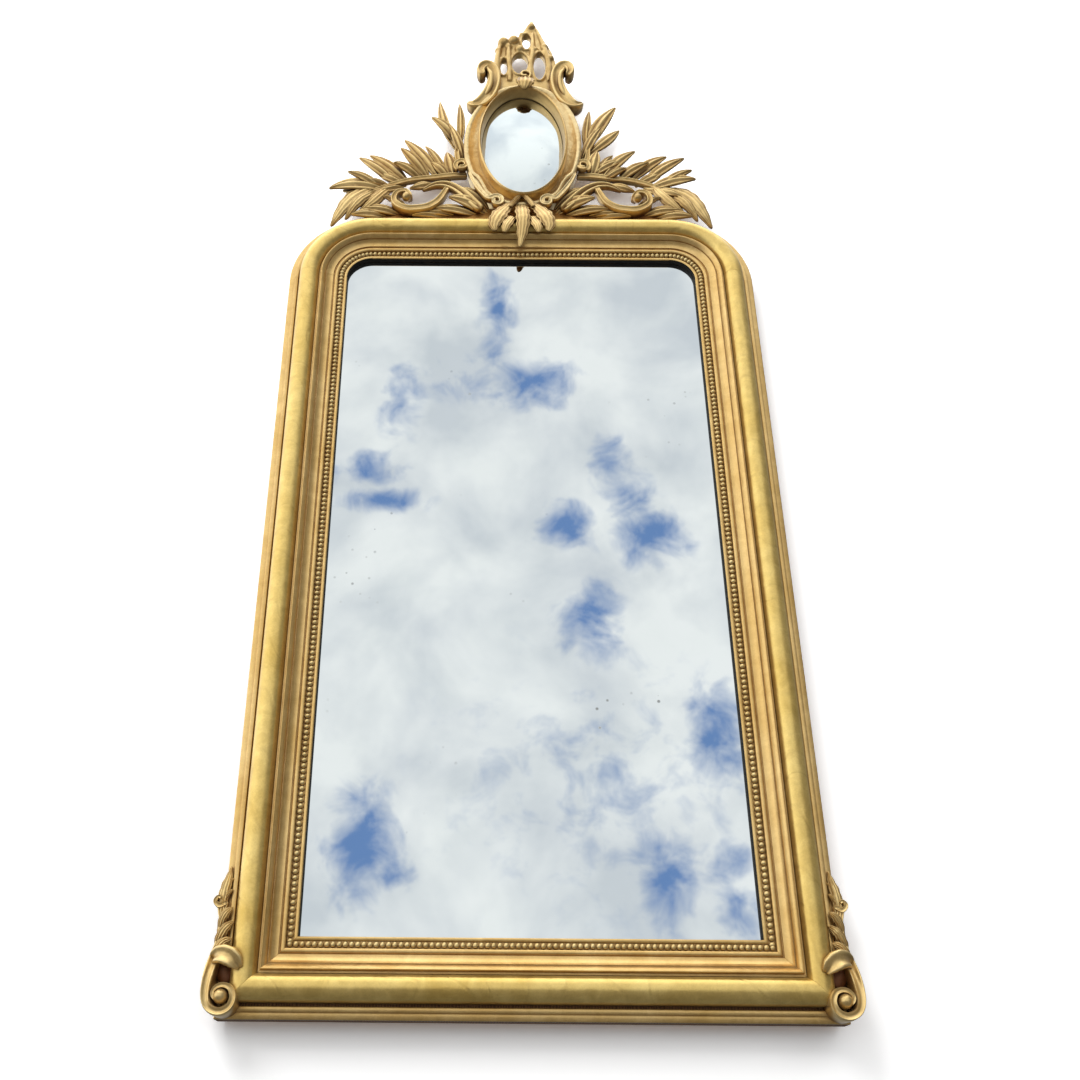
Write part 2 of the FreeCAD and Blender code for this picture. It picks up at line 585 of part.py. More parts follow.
def pendant():
    """Acanthus pendant hanging from the cartouche over the top rail's mouldings."""
    lobes = [
        ([(0, 12, 50), (0, -10, 66), (2, -37, 71), (1, -64, 68), (-3, -94, 58)],
         [(20, 9), (30, 10), (30, 10), (24, 9), (5, 5)]),
        ([(14, 22, 46), (28, 0, 56), (40, -25, 67), (48, -48, 68), (45, -61, 64)],
         [(14, 8), (24, 9), (34, 10), (26, 9), (8, 5)]),
        ([(16, -28, 64), (27, -53, 71), (30, -68, 69)], [(18, 8), (20, 9), (8, 5)]),
        ([(2, 40, 47), (13, 20, 53), (21, 0, 58)], [(10, 10), (11, 12), (9, 10)]),
    ]
    shapes = []
    for k, (path, sizes) in enumerate(lobes):
        for side in ((1,) if k == 0 else (-1, 1)):
            places = [on_crest(u, up, side) + (r,) for u, up, r in path]
            shapes.append(swept(places, sizes, LEAF))
    return fused(shapes)


def s_scroll(side):
    """S-scroll lying on the base rail, its outer end wound into a volute."""
    turns = [(190, 8), (90, 14), (30, 20), (-30, 24), (-90, 27)]
    path = spiral(208, 40, turns) + [(186, 13), (166, 18), (148, 34), (134, 64)]
    widths = [12, 9, 11, 13, 15, 15, 15, 14, 9]
    places = [on_crest(*p, side) + (36.0,) for p in path]
    band = swept(places, [(w, 20.0) for w in widths], ROUND)
    eye = on_crest(207, 39, side)
    arch = [(72, 16), (92, 38), (112, 60), (136, 75), (160, 74), (182, 60)]
    places = [on_crest(*p, side) + (34.0,) for p in arch]
    leaf_arch = swept(places, [(20, 16), (26, 18), (24, 18), (20, 16), (13, 14), (4, 8)], LEAF)
    return fused([band, knob(eye[0], eye[1], 40.0, 10.0, 20.0), leaf_arch])


LEFT_LEAVES = [
    # base out and up, tip out and up, width, bend
    (122, 178, 158, 302, 19, -7), (117, 182, 121, 288, 16, 3), (118, 188, 172, 244, 22, 5),
    (136, 104, 181, 184, 16, 2), (150, 101, 220, 192, 24, 3), (168, 99, 225, 164, 23, 2),
    (206, 92, 283, 159, 22, 3), (226, 87, 301, 146, 21, 2), (244, 76, 349, 62, 27, 9),
    (124, 103, 140, 168, 24, 0), (236, 80, 300, 88, 14, 3),
]
RIGHT_LEAVES = [
    (118, 172, 126, 278, 17, 2), (119, 180, 176, 281, 27, 4), (124, 170, 180, 212, 22, -4),
    (136, 104, 168, 162, 16, 3), (144, 103, 209, 166, 22, 4), (148, 101, 190, 116, 15, 0),
    (194, 94, 268, 160, 24, 5), (218, 90, 299, 149, 22, 3), (230, 80, 316, 90, 23, 4),
    (238, 72, 296, 68, 18, 0), (124, 104, 138, 166, 24, 0),
]


def laurel_branch(side, leaves):
    """Laurel branch: a stem from the cartouche to the corner, its leaves, and the corner leaves."""
    stem = [(100, 108, 24), (124, 106, 26), (160, 101, 26), (204, 94, 26), (244, 80, 25),
            (282, 60, 24), (306, 34, 22)]
    twig = [(106, 112, 24), (120, 148, 27), (121, 184, 27)]
    places = [on_crest(u, up, side) + (r,) for u, up, r in stem]
    shapes = [swept(places, [(12, 18), (17, 18), (15, 16), (14, 16), (13, 15), (13, 14), (9, 12)],
                    ROUND)]
    places = [on_crest(u, up, side) + (r,) for u, up, r in twig]
    shapes.append(swept(places, [(14, 16), (15, 16), (9, 12)], ROUND))
    for u0, up0, u1, up1, width, bend in leaves:
        base, tip = on_crest(u0, up0, side), on_crest(u1, up1, side)
        shapes.append(leaf(base, tip, width, bend * side))
    corner = [(278, 72, 24), (302, 44, 30), (326, 10, 30), (341, -18, 24)]
    inner = [(236, 83, 26), (255, 48, 32), (276, 22, 32), (296, 8, 28)]
    for path, width in ((corner, 42.0), (inner, 29.0)):
        places = [on_crest(u, up, side) + (r,) for u, up, r in path]
        sizes = [(0.4 * width, 12), (width, 13), (0.86 * width, 12), (5.0, 8)]
        shapes.append(swept(places, sizes, LEAF))
    return fused(shapes)


def batten_pieces():
    """Two pine battens behind the crest, let into the back of the top rail."""
    battens = {}
    for name, side in (("left", -1), ("right", 1)):
        x = CREST_X + side * BATTEN_X
        battens[name + "_crest_batten"] = box(
            x - BATTEN_WIDTH / 2.0, x + BATTEN_WIDTH / 2.0, FRAME_HEIGHT - BATTEN_DROP,
            FRAME_HEIGHT + BATTEN_REACH, 0.0, CREST_BACK)
    return battens


def batten_space():
    """The two recesses that the battens lie in."""
    return Part.makeCompound(list(batten_pieces().values()))


def crest_nail_places():
    """Two nails of each batten into the rail and two into the crest."""
    places = []
    for side in (-1, 1):
        x = CREST_X + side * BATTEN_X
        for z in (FRAME_HEIGHT - BATTEN_DROP + 18.0, FRAME_HEIGHT - 18.0,
                  FRAME_HEIGHT + BASE_RAIL_HEIGHT / 2.0, FRAME_HEIGHT + BASE_RAIL_HEIGHT + 10.0):
            places.append((x, z))
    return places


# ---- ears ----------------------------------------------------------------------------
def off_edge(path):
    """(out, z, rise) points beside the frame's right edge, as (x, z, rise)."""
    return [(HALF_WIDTH + out, z, rise) for out, z, rise in path]


def ear_scroll():
    """Right ear: a volute at the foot, a stem up the stile and a small curl at its head."""
    volute = spiral(-12.0, 21.0, [(-430, 5.5), (-350, 8.2), (-290, 11.2), (-230, 14.2),
                                  (-170, 16.8), (-110, 18.3), (-50, 18.8), (0, 19.0)])
    widths = [8, 8.2, 9, 10, 10.7, 11.2, 11.5, 12]
    stem = [(7, 40), (5, 62), (-1, 90), (-1, 118), (3, 134), (7, 145)]
    stem_widths = [13, 14, 12, 9, 9, 6]
    rises = [40.0] * len(volute) + [38, 34, 28, 26, 26, 28]
    depths = [50.0] * len(volute) + [44, 34, 28, 26, 24, 20]
    places = off_edge([p + (r,) for p, r in zip(volute + stem, rises)])
    band = swept(places, list(zip(widths + stem_widths, depths)), ROUND)
    edge = HALF_WIDTH
    eye = knob(edge - 12.0, 20.0, 58.0, 8.5, 24.0)
    curl = knob(edge + 7.0, 145.0, 28.0, 8.0, 24.0)
    crown = leaf((edge + 2.0, 122), (edge - 4.0, 188), 15.0, -4.0, (28, 32, 30), 12.0)
    frill = leaf((edge + 4.0, 84), (edge - 11.0, 124), 13.0, 3.0, (30, 40, 38), 10.0)
    return fused([band, eye, curl, crown, frill])


def ear_leaf():
    """The curled leaf lobe that hangs over the volute."""
    path = off_edge([(0, 88, 34), (-4, 80, 54), (-14, 72, 68), (-24, 64, 70), (-30, 57, 64)])
    return swept(path, [(8, 8), (18, 10), (25, 12), (20, 12), (6, 7)], LEAF)


# ---- hangers -------------------------------------------------------------------------
BARREL_RADIUS = WIRE_RADIUS + RUNNING_FIT + BARREL_WALL
PIVOT_RISE = -BARREL_RADIUS
RING_HALF = BARREL_LENGTH / 2.0 + 3.0
RING_DROP = RING_RADIUS + 10.0


def screw_places():
    """The two screws of the left strap: x, z of each."""
    return [(-HANGER_X, HANGER_Z + 16.0), (-HANGER_X, HANGER_Z + STRAP_LENGTH - 10.0)]


def screw_shape(x, z):
    """Wood screw through the strap into the stile, its head standing on the strap."""
    steps = ((-SCREW_HEAD_HEIGHT, 0.6 * SCREW_HEAD_RADIUS), (0.0, SCREW_HEAD_RADIUS),
             (0.0, SCREW_RADIUS), (SCREW_LENGTH, SCREW_RADIUS))
    rings = [[at(x + 2.0 * a * r, z + 2.0 * b * r, d - STRAP_THICKNESS) for a, b in OCTAGON]
             for d, r in steps]
    return skin(rings)


def strap():
    """Left iron strap: a flat plate whose foot is rolled round the ring's bar."""
    x, w = -HANGER_X, STRAP_WIDTH / 2.0
    plate = box(x - w, x + w, HANGER_Z + 4.0, HANGER_Z + STRAP_LENGTH, -STRAP_THICKNESS, 0.0)
    neck_w = BARREL_LENGTH / 2.0
    neck = box(x - neck_w, x + neck_w, HANGER_Z, HANGER_Z + 4.0, -STRAP_THICKNESS, 0.0)
    barrel = Part.makeCylinder(BARREL_RADIUS, BARREL_LENGTH,
                               at(x - neck_w, HANGER_Z, PIVOT_RISE), V(1, 0, 0))
    solid = plate.multiFuse([neck, barrel])
    bore = Part.makeCylinder(WIRE_RADIUS + RUNNING_FIT, STRAP_WIDTH,
                             at(x - w, HANGER_Z, PIVOT_RISE), V(1, 0, 0))
    solid = solid.cut(bore)
    for sx, sz in screw_places():
        solid = solid.cut(screw_shape(sx, sz))
    return solid


def ring():
    """Left hanging ring: wire bent to a D, its round bar through the strap's barrel."""
    x, r = -HANGER_X, RING_RADIUS
    centre = HANGER_Z - RING_DROP + r
    bow = [(x + a, z) for a, z in spiral(0.0, centre, [(20.0 - 27.5 * i, r) for i in range(9)])]
    path = [(x + RING_HALF, HANGER_Z)] + bow + [(x - RING_HALF, HANGER_Z)]
    size = (2.0 * WIRE_RADIUS, 2.0 * WIRE_RADIUS)
    loop = swept([(a, z, PIVOT_RISE) for a, z in path], [size] * len(path), OCTAGON)
    start = at(x - RING_HALF - WIRE_RADIUS, HANGER_Z, PIVOT_RISE)
    bar = Part.makeCylinder(WIRE_RADIUS, 2.0 * (RING_HALF + WIRE_RADIUS), start, V(1, 0, 0))
    return loop.fuse(bar)


# ---- assembly ------------------------------------------------------------------------
def cut_all(shape, tools):
    """A piece scribed to fit against its neighbours."""
    for tool in tools:
        shape = shape.cut(tool)
    return shape


def largest(shape):
    """The main solid, without slivers that scribing leaves."""
    return max(shape.Solids, key=lambda s: s.Volume)


def build():
    """Every piece of the mirror by name."""
    parts = carcass_pieces()
    mouldings = moulding_pieces()
    planks = plank_pieces()
    battens = batten_pieces()
    nails = [nail_shape(x, z, PLANK_REBATE_DEPTH - PLANK_THICKNESS) for x, z in nail_places()]
    crest_nails = [nail_shape(x, z, NAIL_HEAD_THICKNESS) for x, z in crest_nail_places()]
    screws = [screw_shape(x, z) for x, z in screw_places()]
    screws += [mirrored(s) for s in screws]

    rail = base_rail()
    body = cartouche(rail)
    oval_ring = bezel()
    shell = finial().cut(body)
    top_rim = [mouldings[n] for n in ("top_torus", "top_inner_moulding", "top_lip", "top_pearls")]
    parts["crest_base_rail"] = rail.cut(Part.makeCompound(crest_nails))
    parts["cartouche_body"] = largest(body.cut(Part.makeCompound(crest_nails)))
    parts["oval_bezel"] = oval_ring
    parts["oval_glass"] = oval_glass()
    parts["oval_backing_board"] = oval_backing()
    parts["pierced_finial"] = largest(shell)
    parts["bezel_clasp"] = largest(cut_all(clasp(), [oval_ring, body, shell]))
    parts["acanthus_pendant"] = largest(cut_all(pendant(), [body, oval_ring, rail] + top_rim))
    frame_top = [mouldings[n] for n in ("left_corner_torus", "right_corner_torus",
                                        "left_corner_lip", "right_corner_lip", "top_lip",
                                        "top_torus")]
    boards = [parts["top_rail"], parts["left_stile"], parts["right_stile"]]
    for name, side, leaves in (("left", -1, LEFT_LEAVES), ("right", 1, RIGHT_LEAVES)):
        scroll = s_scroll(side)
        branch = laurel_branch(side, leaves)
        curl = c_scroll(side)
        scroll = largest(cut_all(scroll, [body, rail] + frame_top))
        parts[name + "_s_scroll"] = scroll
        curl = largest(cut_all(curl, [body, oval_ring, shell]))
        parts[name + "_c_scroll"] = curl
        parts[name + "_laurel_branch"] = largest(
            cut_all(branch, [body, curl, scroll, rail] + frame_top + boards))

    corner = [mouldings[n] for n in ("right_lip", "right_torus", "bottom_lip", "bottom_torus")]
    corner += [parts["right_stile"], parts["bottom_rail"]]
    base = box(0.0, FRAME_WIDTH, -FRAME_WIDTH, 0.0, WALL_SIDE, ROOM_SIDE)
    ear = largest(cut_all(ear_scroll(), corner + [base]))
    lobe = largest(cut_all(ear_leaf(), corner + [ear]))
    parts["right_ear_scroll"], parts["left_ear_scroll"] = ear, mirrored(ear)
    parts["right_ear_leaf"], parts["left_ear_leaf"] = lobe, mirrored(lobe)

    for name, plank in planks.items():
        parts[name] = plank.cut(Part.makeCompound(nails))
    for name, batten in battens.items():
        parts[name] = batten.cut(Part.makeCompound(crest_nails))
    for name in ("top_rail", "bottom_rail"):
        parts[name] = parts[name].cut(Part.makeCompound(nails + crest_nails))
    for name in ("left_stile", "right_stile"):
        parts[name] = parts[name].cut(Part.makeCompound(nails + screws))
    parts["back_nails"] = Part.makeCompound(nails)
    parts["crest_nails"] = Part.makeCompound(crest_nails)
    parts["glazing_blocks"] = block_pieces()
    parts["mirror_plate"] = plate_piece()
    parts["hanger_screws"] = Part.makeCompound(screws)
    parts["left_hanger_strap"], parts["right_hanger_strap"] = strap(), mirrored(strap())
    parts["left_hanging_ring"], parts["right_hanging_ring"] = ring(), mirrored(ring())
    parts.update(mouldings)
    return parts


def save(parts):
    """Write one STEP file per piece and say how many solids each holds."""
    os.makedirs("parts", exist_ok=True)
    for name, shape in sorted(parts.items()):
        shape.exportStep(os.path.join("parts", name + ".step"))
        state = "" if shape.isValid() else "  NOT VALID"
        print("%-24s %2d solids %12.1f mm3%s" % (name, len(shape.Solids), shape.Volume, state))
    print(len(parts), "pieces")


save(build())
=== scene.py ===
"""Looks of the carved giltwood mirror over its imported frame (Blender 4.5).

Sizes are written in millimetres on the same scales as the part's source: x along the frame,
z up, "inset" inwards from the frame's outer edge and "rise" in front of its back.
"""

import logging
import math
from dataclasses import dataclass
from enum import Enum
from typing import Callable, Sequence

import bmesh
import bpy
from mathutils import Matrix, Vector


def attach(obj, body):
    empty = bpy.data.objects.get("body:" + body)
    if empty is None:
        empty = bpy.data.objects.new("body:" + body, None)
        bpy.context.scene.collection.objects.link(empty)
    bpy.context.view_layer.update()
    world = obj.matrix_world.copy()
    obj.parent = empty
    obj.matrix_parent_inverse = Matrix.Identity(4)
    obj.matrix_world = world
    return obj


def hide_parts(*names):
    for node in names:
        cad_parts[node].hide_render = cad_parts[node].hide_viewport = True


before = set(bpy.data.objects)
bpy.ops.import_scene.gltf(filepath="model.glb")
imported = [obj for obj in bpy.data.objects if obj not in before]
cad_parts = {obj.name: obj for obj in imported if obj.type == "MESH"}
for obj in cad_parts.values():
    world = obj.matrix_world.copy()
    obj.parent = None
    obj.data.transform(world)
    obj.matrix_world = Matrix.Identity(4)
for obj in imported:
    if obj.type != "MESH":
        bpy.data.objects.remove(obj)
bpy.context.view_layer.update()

LOG = logging.getLogger("mirror")
MM = 0.001

Point2 = tuple[float, float]
Point3 = tuple[float, float, float]
Rgb = tuple[int, int, int]
Rows = Sequence[Sequence[float]]
Piece, Material = bpy.types.Object, bpy.types.Material
Tree, Node, Socket = bpy.types.NodeTree, bpy.types.Node, bpy.types.NodeSocket
Inputs = dict[str | int, object]
Palette = dict[str, Material]
SIDES = (("left", -1), ("right", 1))


# ---- sizes ---------------------------------------------------------------------------
@dataclass(frozen=True)
class FrameSizes:
    """Driving sizes of the frame, in millimetres."""

    width: float = 800.0
    height: float = 1340.0
    border: float = 100.0
    corner_radius: float = 142.0
    carcass: float = 27.0
    crest_x: float = 2.5
    crest_lean: float = 0.022
    crest_back: float = 8.0
    oval_up: float = 173.0
    oval_half_width: float = 71.0
    oval_half_height: float = 127.0
    oval_back: float = 27.5
    bezel_lap: float = 6.0
    bezel_width: float = 11.5
    bezel_rise: float = 57.0

    @property
    def half(self) -> float:
        """Half the frame's width."""
        return self.width / 2.0

    @property
    def corner(self) -> Point2:
        """Centre of the right rounded corner, as (x, z)."""
        return self.half - self.corner_radius, self.height - self.corner_radius

    @property
    def oval(self) -> Point2:
        """Centre of the oval glass, as (x, z)."""
        return self.crest_x + self.crest_lean * self.oval_up, self.height + self.oval_up


SIZE = FrameSizes()


def at(x: float, z: float, rise: float) -> Vector:
    """The point in metres at x along, z up and rise in front of the back of the frame."""
    return Vector((x, SIZE.carcass / 2.0 - rise, z)) * MM


def on_crest(out: float, up: float, side: int = 1) -> Point2:
    """(x, z) beside the crest's centre line, up above the frame's top edge."""
    return SIZE.crest_x + SIZE.crest_lean * up + side * out, SIZE.height + up


def polar(x: float, z: float, reach: float, turn: float, tall: float | None = None) -> Point2:
    """The point at reach (tall upwards, if given) from (x, z), turned by degrees from x to z."""
    angle = math.radians(turn)
    return (x + reach * math.cos(angle),
            z + (reach if tall is None else tall) * math.sin(angle))


def inset_of(point: Vector) -> float:
    """How far inside the frame's outer edge a point lies, in millimetres."""
    x, z = abs(point.x) / MM, point.z / MM
    cx, cz = SIZE.corner
    if x > cx and z > cz:
        return SIZE.corner_radius - math.hypot(x - cx, z - cz)
    return min(SIZE.half - x, z, SIZE.height - z)


# ---- the bench: shaping with Blender's own operators ---------------------------------
THINNEST = 0.6          # no ring of a member is narrower or flatter than this
RELIEF_MIDDLE = 0.26    # share of the front that is neither ridge nor valley
RELIEF_REACH = 0.24     # from there to a full ridge or valley


class Section(Enum):
    """Cross-sections of carved members, as (across, front) shares of width and depth."""

    ROUND = tuple((0.5 * math.cos(math.tau * i / 10), 0.5 * math.sin(math.tau * i / 10))
                  for i in range(10))
    LEAF = ((-0.5, -0.22), (-0.42, 0.18), (-0.27, 0.5), (-0.12, 0.36), (0.0, 0.02), (0.12, 0.36),
            (0.27, 0.5), (0.42, 0.18), (0.5, -0.22), (0.24, -0.5), (0.0, -0.5), (-0.24, -0.5))
    VEINED = ((-0.5, -0.2), (-0.42, 0.26), (-0.33, 0.06), (-0.23, 0.42), (-0.13, 0.16),
              (0.0, 0.5), (0.13, 0.16), (0.23, 0.42), (0.33, 0.06), (0.42, 0.26), (0.5, -0.2),
              (0.22, -0.5), (-0.22, -0.5))
    LAUREL = ((-0.5, -0.1), (-0.38, 0.4), (-0.2, 0.04), (-0.05, 0.44), (0.05, 0.5), (0.2, 0.04),
              (0.38, 0.4), (0.5, -0.1), (0.22, -0.5), (0.0, -0.5), (-0.22, -0.5))
    FLUTED = ((-0.5, -0.1), (-0.48, 0.36), (-0.34, 0.5), (-0.2, 0.34), (0.0, 0.22), (0.2, 0.34),
              (0.34, 0.5), (0.48, 0.36), (0.5, -0.1), (0.36, -0.5), (0.0, -0.5), (-0.36, -0.5))


@dataclass
class Station:
    """One place along a carved member: its centre (x, z, rise), width and depth."""

    x: float
    z: float
    rise: float
    width: float
    depth: float


def between(rows: Rows, steps: int) -> list[list[float]]:
    """Rows of numbers joined by a smooth curve through every one of them.

    Args:
        rows: The control rows.
        steps: How many steps each stretch is divided in.

    Returns:
        The rows and those between them.
    """
    out = []
    last = len(rows) - 1
    for i in range(last):
        p0, p1, p2, p3 = (rows[max(i - 1, 0)], rows[i], rows[i + 1], rows[min(i + 2, last)])
        for k in range(steps):
            t = k / steps
            out.append([0.5 * (2 * b + (c - a) * t + (2 * a - 5 * b + 4 * c - d) * t * t
                               + (3 * b - a - 3 * c + d) * t ** 3)
                        for a, b, c, d in zip(p0, p1, p2, p3)])
    out.append(list(rows[last]))
    return out


class Bench:
    """Makes and shapes one piece at a time with operators, as by hand."""

    @staticmethod
    def clear() -> None:
        """Deselect every object."""
        if bpy.context.object and bpy.context.object.mode != "OBJECT":
            bpy.ops.object.mode_set(mode="OBJECT")
        bpy.ops.object.select_all(action="DESELECT")

    @staticmethod
    def start_ring(name: str, points: Sequence[Vector]) -> Piece:
        """A ring of vertices, in edit mode and selected.

        Args:
            name: The piece's name.
            points: Where its vertices go.

        Returns:
            The new object.
        """
        Bench.clear()
        bpy.ops.mesh.primitive_circle_add(vertices=len(points), radius=0.01, location=(0, 0, 0))
        piece = bpy.context.object
        piece.name = piece.data.name = name
        bpy.ops.object.mode_set(mode="EDIT")
        mesh = bmesh.from_edit_mesh(piece.data)
        mesh.verts.ensure_lookup_table()
        place = mesh.verts.layers.int.new("place")
        for i, point in enumerate(points):
            mesh.verts[i][place] = i
            mesh.verts[i].co = point
        bmesh.update_edit_mesh(piece.data)
        bpy.ops.mesh.select_all(action="SELECT")
        return piece

    @staticmethod
    def next_ring(piece: Piece, points: Sequence[Vector]) -> None:
        """Extrude the selected ring onto new points."""
        bpy.ops.mesh.extrude_edges_move()
        mesh = bmesh.from_edit_mesh(piece.data)
        place = mesh.verts.layers.int["place"]
        for vertex in mesh.verts:
            if vertex.select:
                vertex.co = points[vertex[place]]
        bmesh.update_edit_mesh(piece.data)

    @staticmethod
    def select_first(piece: Piece, count: int) -> None:
        """Select the first ring of the piece in edit mode."""
        bpy.ops.mesh.select_all(action="DESELECT")
        mesh = bmesh.from_edit_mesh(piece.data)
        mesh.verts.ensure_lookup_table()
        for i in range(count):
            mesh.verts[i].select = True
        mesh.select_flush(True)
        bmesh.update_edit_mesh(piece.data)

    @staticmethod
    def close(piece: Piece) -> Piece:
        """Leave edit mode with all faces pointing outwards."""
        bpy.ops.mesh.select_all(action="SELECT")
        bpy.ops.mesh.normals_make_consistent(inside=False)
        bpy.ops.object.mode_set(mode="OBJECT")
        return piece

    @staticmethod
    def cap(piece: Piece, count: int, pointed: bool = False) -> Piece:
        """Close the selected last ring, by a face or to a point, and the first ring of count."""
        if pointed:
            bpy.ops.mesh.merge(type="CENTER")
        else:
            bpy.ops.mesh.edge_face_add()
        Bench.select_first(piece, count)
        bpy.ops.mesh.edge_face_add()
        return Bench.close(piece)

    @staticmethod
    def pick(piece: Piece) -> None:
        """Select the piece alone and make it the active one."""
        Bench.clear()
        piece.select_set(True)
        bpy.context.view_layer.objects.active = piece

    @staticmethod
    def apply(piece: Piece, kind: str, **settings: object) -> None:
        """Add a modifier with its settings and apply it."""
        Bench.pick(piece)
        modifier = piece.modifiers.new(kind.lower(), kind)
        for key, value in settings.items():
            setattr(modifier, key, value)
        bpy.ops.object.modifier_apply(modifier=modifier.name)

    @staticmethod
    def smooth(piece: Piece, degrees: float) -> Piece:
        """Shade smooth except over sharper edges than the angle."""
        Bench.pick(piece)
        bpy.ops.object.shade_smooth_by_angle(angle=math.radians(degrees))
        return piece

    @staticmethod
    def join(name: str, pieces: Sequence[Piece]) -> Piece:
        """Several pieces joined in one object under the name."""
        Bench.clear()
        for piece in pieces:
            piece.select_set(True)
        bpy.context.view_layer.objects.active = pieces[0]
        if len(pieces) > 1:
            bpy.ops.object.join()
        whole = bpy.context.object
        whole.name = whole.data.name = name
        return whole

    @staticmethod
    def draw(name: str, rings: Sequence[Sequence[Vector]]) -> Piece:
        """A first ring and the others extruded from it, in edit mode with the last selected."""
        piece = Bench.start_ring(name, rings[0])
        for ring in rings[1:]:
            Bench.next_ring(piece, ring)
        return piece

    @staticmethod
    def member(name: str, stations: Sequence[Station], section: Section, steps: int = 3,
               pointed: bool = True, notch: float = 0.0) -> Piece:
        """A carved member: a section extruded ring by ring along its stations.

        Args:
            name: Its name.
            stations: The control stations from base to tip.
            section: The cross-section.
            steps: Steps between two stations.
            pointed: Whether its end comes to a point.
            notch: Share of the width cut in between the lobes of its edge.

        Returns:
            The smooth piece.
        """
        rows = between([(s.x, s.z, s.rise, s.width, s.depth) for s in stations], steps)
        for row in rows[2:-1:3]:
            row[3] *= 1.0 - notch
        centres = [at(*row[:3]) for row in rows]
        drawn = []
        for i, (centre, row) in enumerate(zip(centres, rows)):
            ahead = (centres[min(i + 1, len(centres) - 1)] - centres[max(i - 1, 0)]).normalized()
            side = ahead.cross(Vector((0, -1, 0))).normalized()
            turn = Matrix((side, side.cross(ahead), ahead)).transposed()
            width, depth = max(row[3], THINNEST) * MM, max(row[4], THINNEST) * MM
            reach = min(width, depth)
            drawn.append([centre + turn.col[0] * (a * width) + turn.col[1]
                          * (b * reach + math.copysign((depth - reach) / 2.0, b))
                          for a, b in section.value])
        piece = Bench.draw(name, drawn)
        Bench.mark_relief(piece, section)
        Bench.cap(piece, len(section.value), pointed)
        Bench.apply(piece, "SUBSURF", levels=1, render_levels=1)
        return Bench.smooth(piece, 70.0)

    @staticmethod
    def mark_relief(piece: Piece, section: Section) -> None:
        """Note on every vertex whether it lies on a ridge (1) or in a valley (-1)."""
        mesh = bmesh.from_edit_mesh(piece.data)
        place, relief = mesh.verts.layers.int["place"], mesh.verts.layers.float.new("relief")
        for vertex in mesh.verts:
            front = section.value[vertex[place]][1]
            vertex[relief] = max(-1.0, min(1.0, (front - RELIEF_MIDDLE) / RELIEF_REACH))
        bmesh.update_edit_mesh(piece.data)

    @staticmethod
    def rings(name: str, rings: Sequence[Sequence[Vector]], angle: float,
              closed: bool = False) -> Piece:
        """A skin through rings of points, extruded ring by ring.

        Args:
            name: The piece's name.
            rings: Rings with one number of points.
            angle: Edges sharper than this, in degrees, stay sharp.
            closed: Whether the last ring is bridged back to the first.

        Returns:
            The piece, capped where it isn't closed.
        """
        piece = Bench.draw(name, rings)
        if closed:
            Bench.select_first(piece, len(rings[0]))
            mesh = bmesh.from_edit_mesh(piece.data)
            for edge in mesh.edges:
                edge.select = len(edge.link_faces) == 1
            bmesh.update_edit_mesh(piece.data)
            bpy.ops.mesh.bridge_edge_loops()
            Bench.close(piece)
        else:
            Bench.cap(piece, len(rings[0]))
        return Bench.smooth(piece, angle)

    @staticmethod
    def boss(name: str, x: float, z: float, rise: float, radius: float,
             depth: float) -> Piece:
        """A rounded boss facing the room, from a squashed sphere."""
        Bench.clear()
        bpy.ops.mesh.primitive_uv_sphere_add(segments=20, ring_count=12, radius=radius * MM,
                                             location=at(x, z, rise))
        piece = bpy.context.object
        piece.name = piece.data.name = name
        bpy.ops.transform.resize(value=(1.0, depth / (2.0 * radius), 1.0))
        bpy.ops.object.transform_apply(location=True, rotation=True, scale=True)
        return Bench.smooth(piece, 80.0)


# ---- finishes ------------------------------------------------------------------------
WHITE, BLACK = (1.0, 1.0, 1.0, 1.0), (0.0, 0.0, 0.0, 1.0)


def linear(red: int, green: int, blue: int) -> tuple[float, float, float, float]:
    """A colour written in the usual 0 to 255 values, as linear light with alpha."""
    shares = (value / 255.0 for value in (red, green, blue))
    return (*(c / 12.92 if c <= 0.04045 else ((c + 0.055) / 1.055) ** 2.4 for c in shares), 1.0)


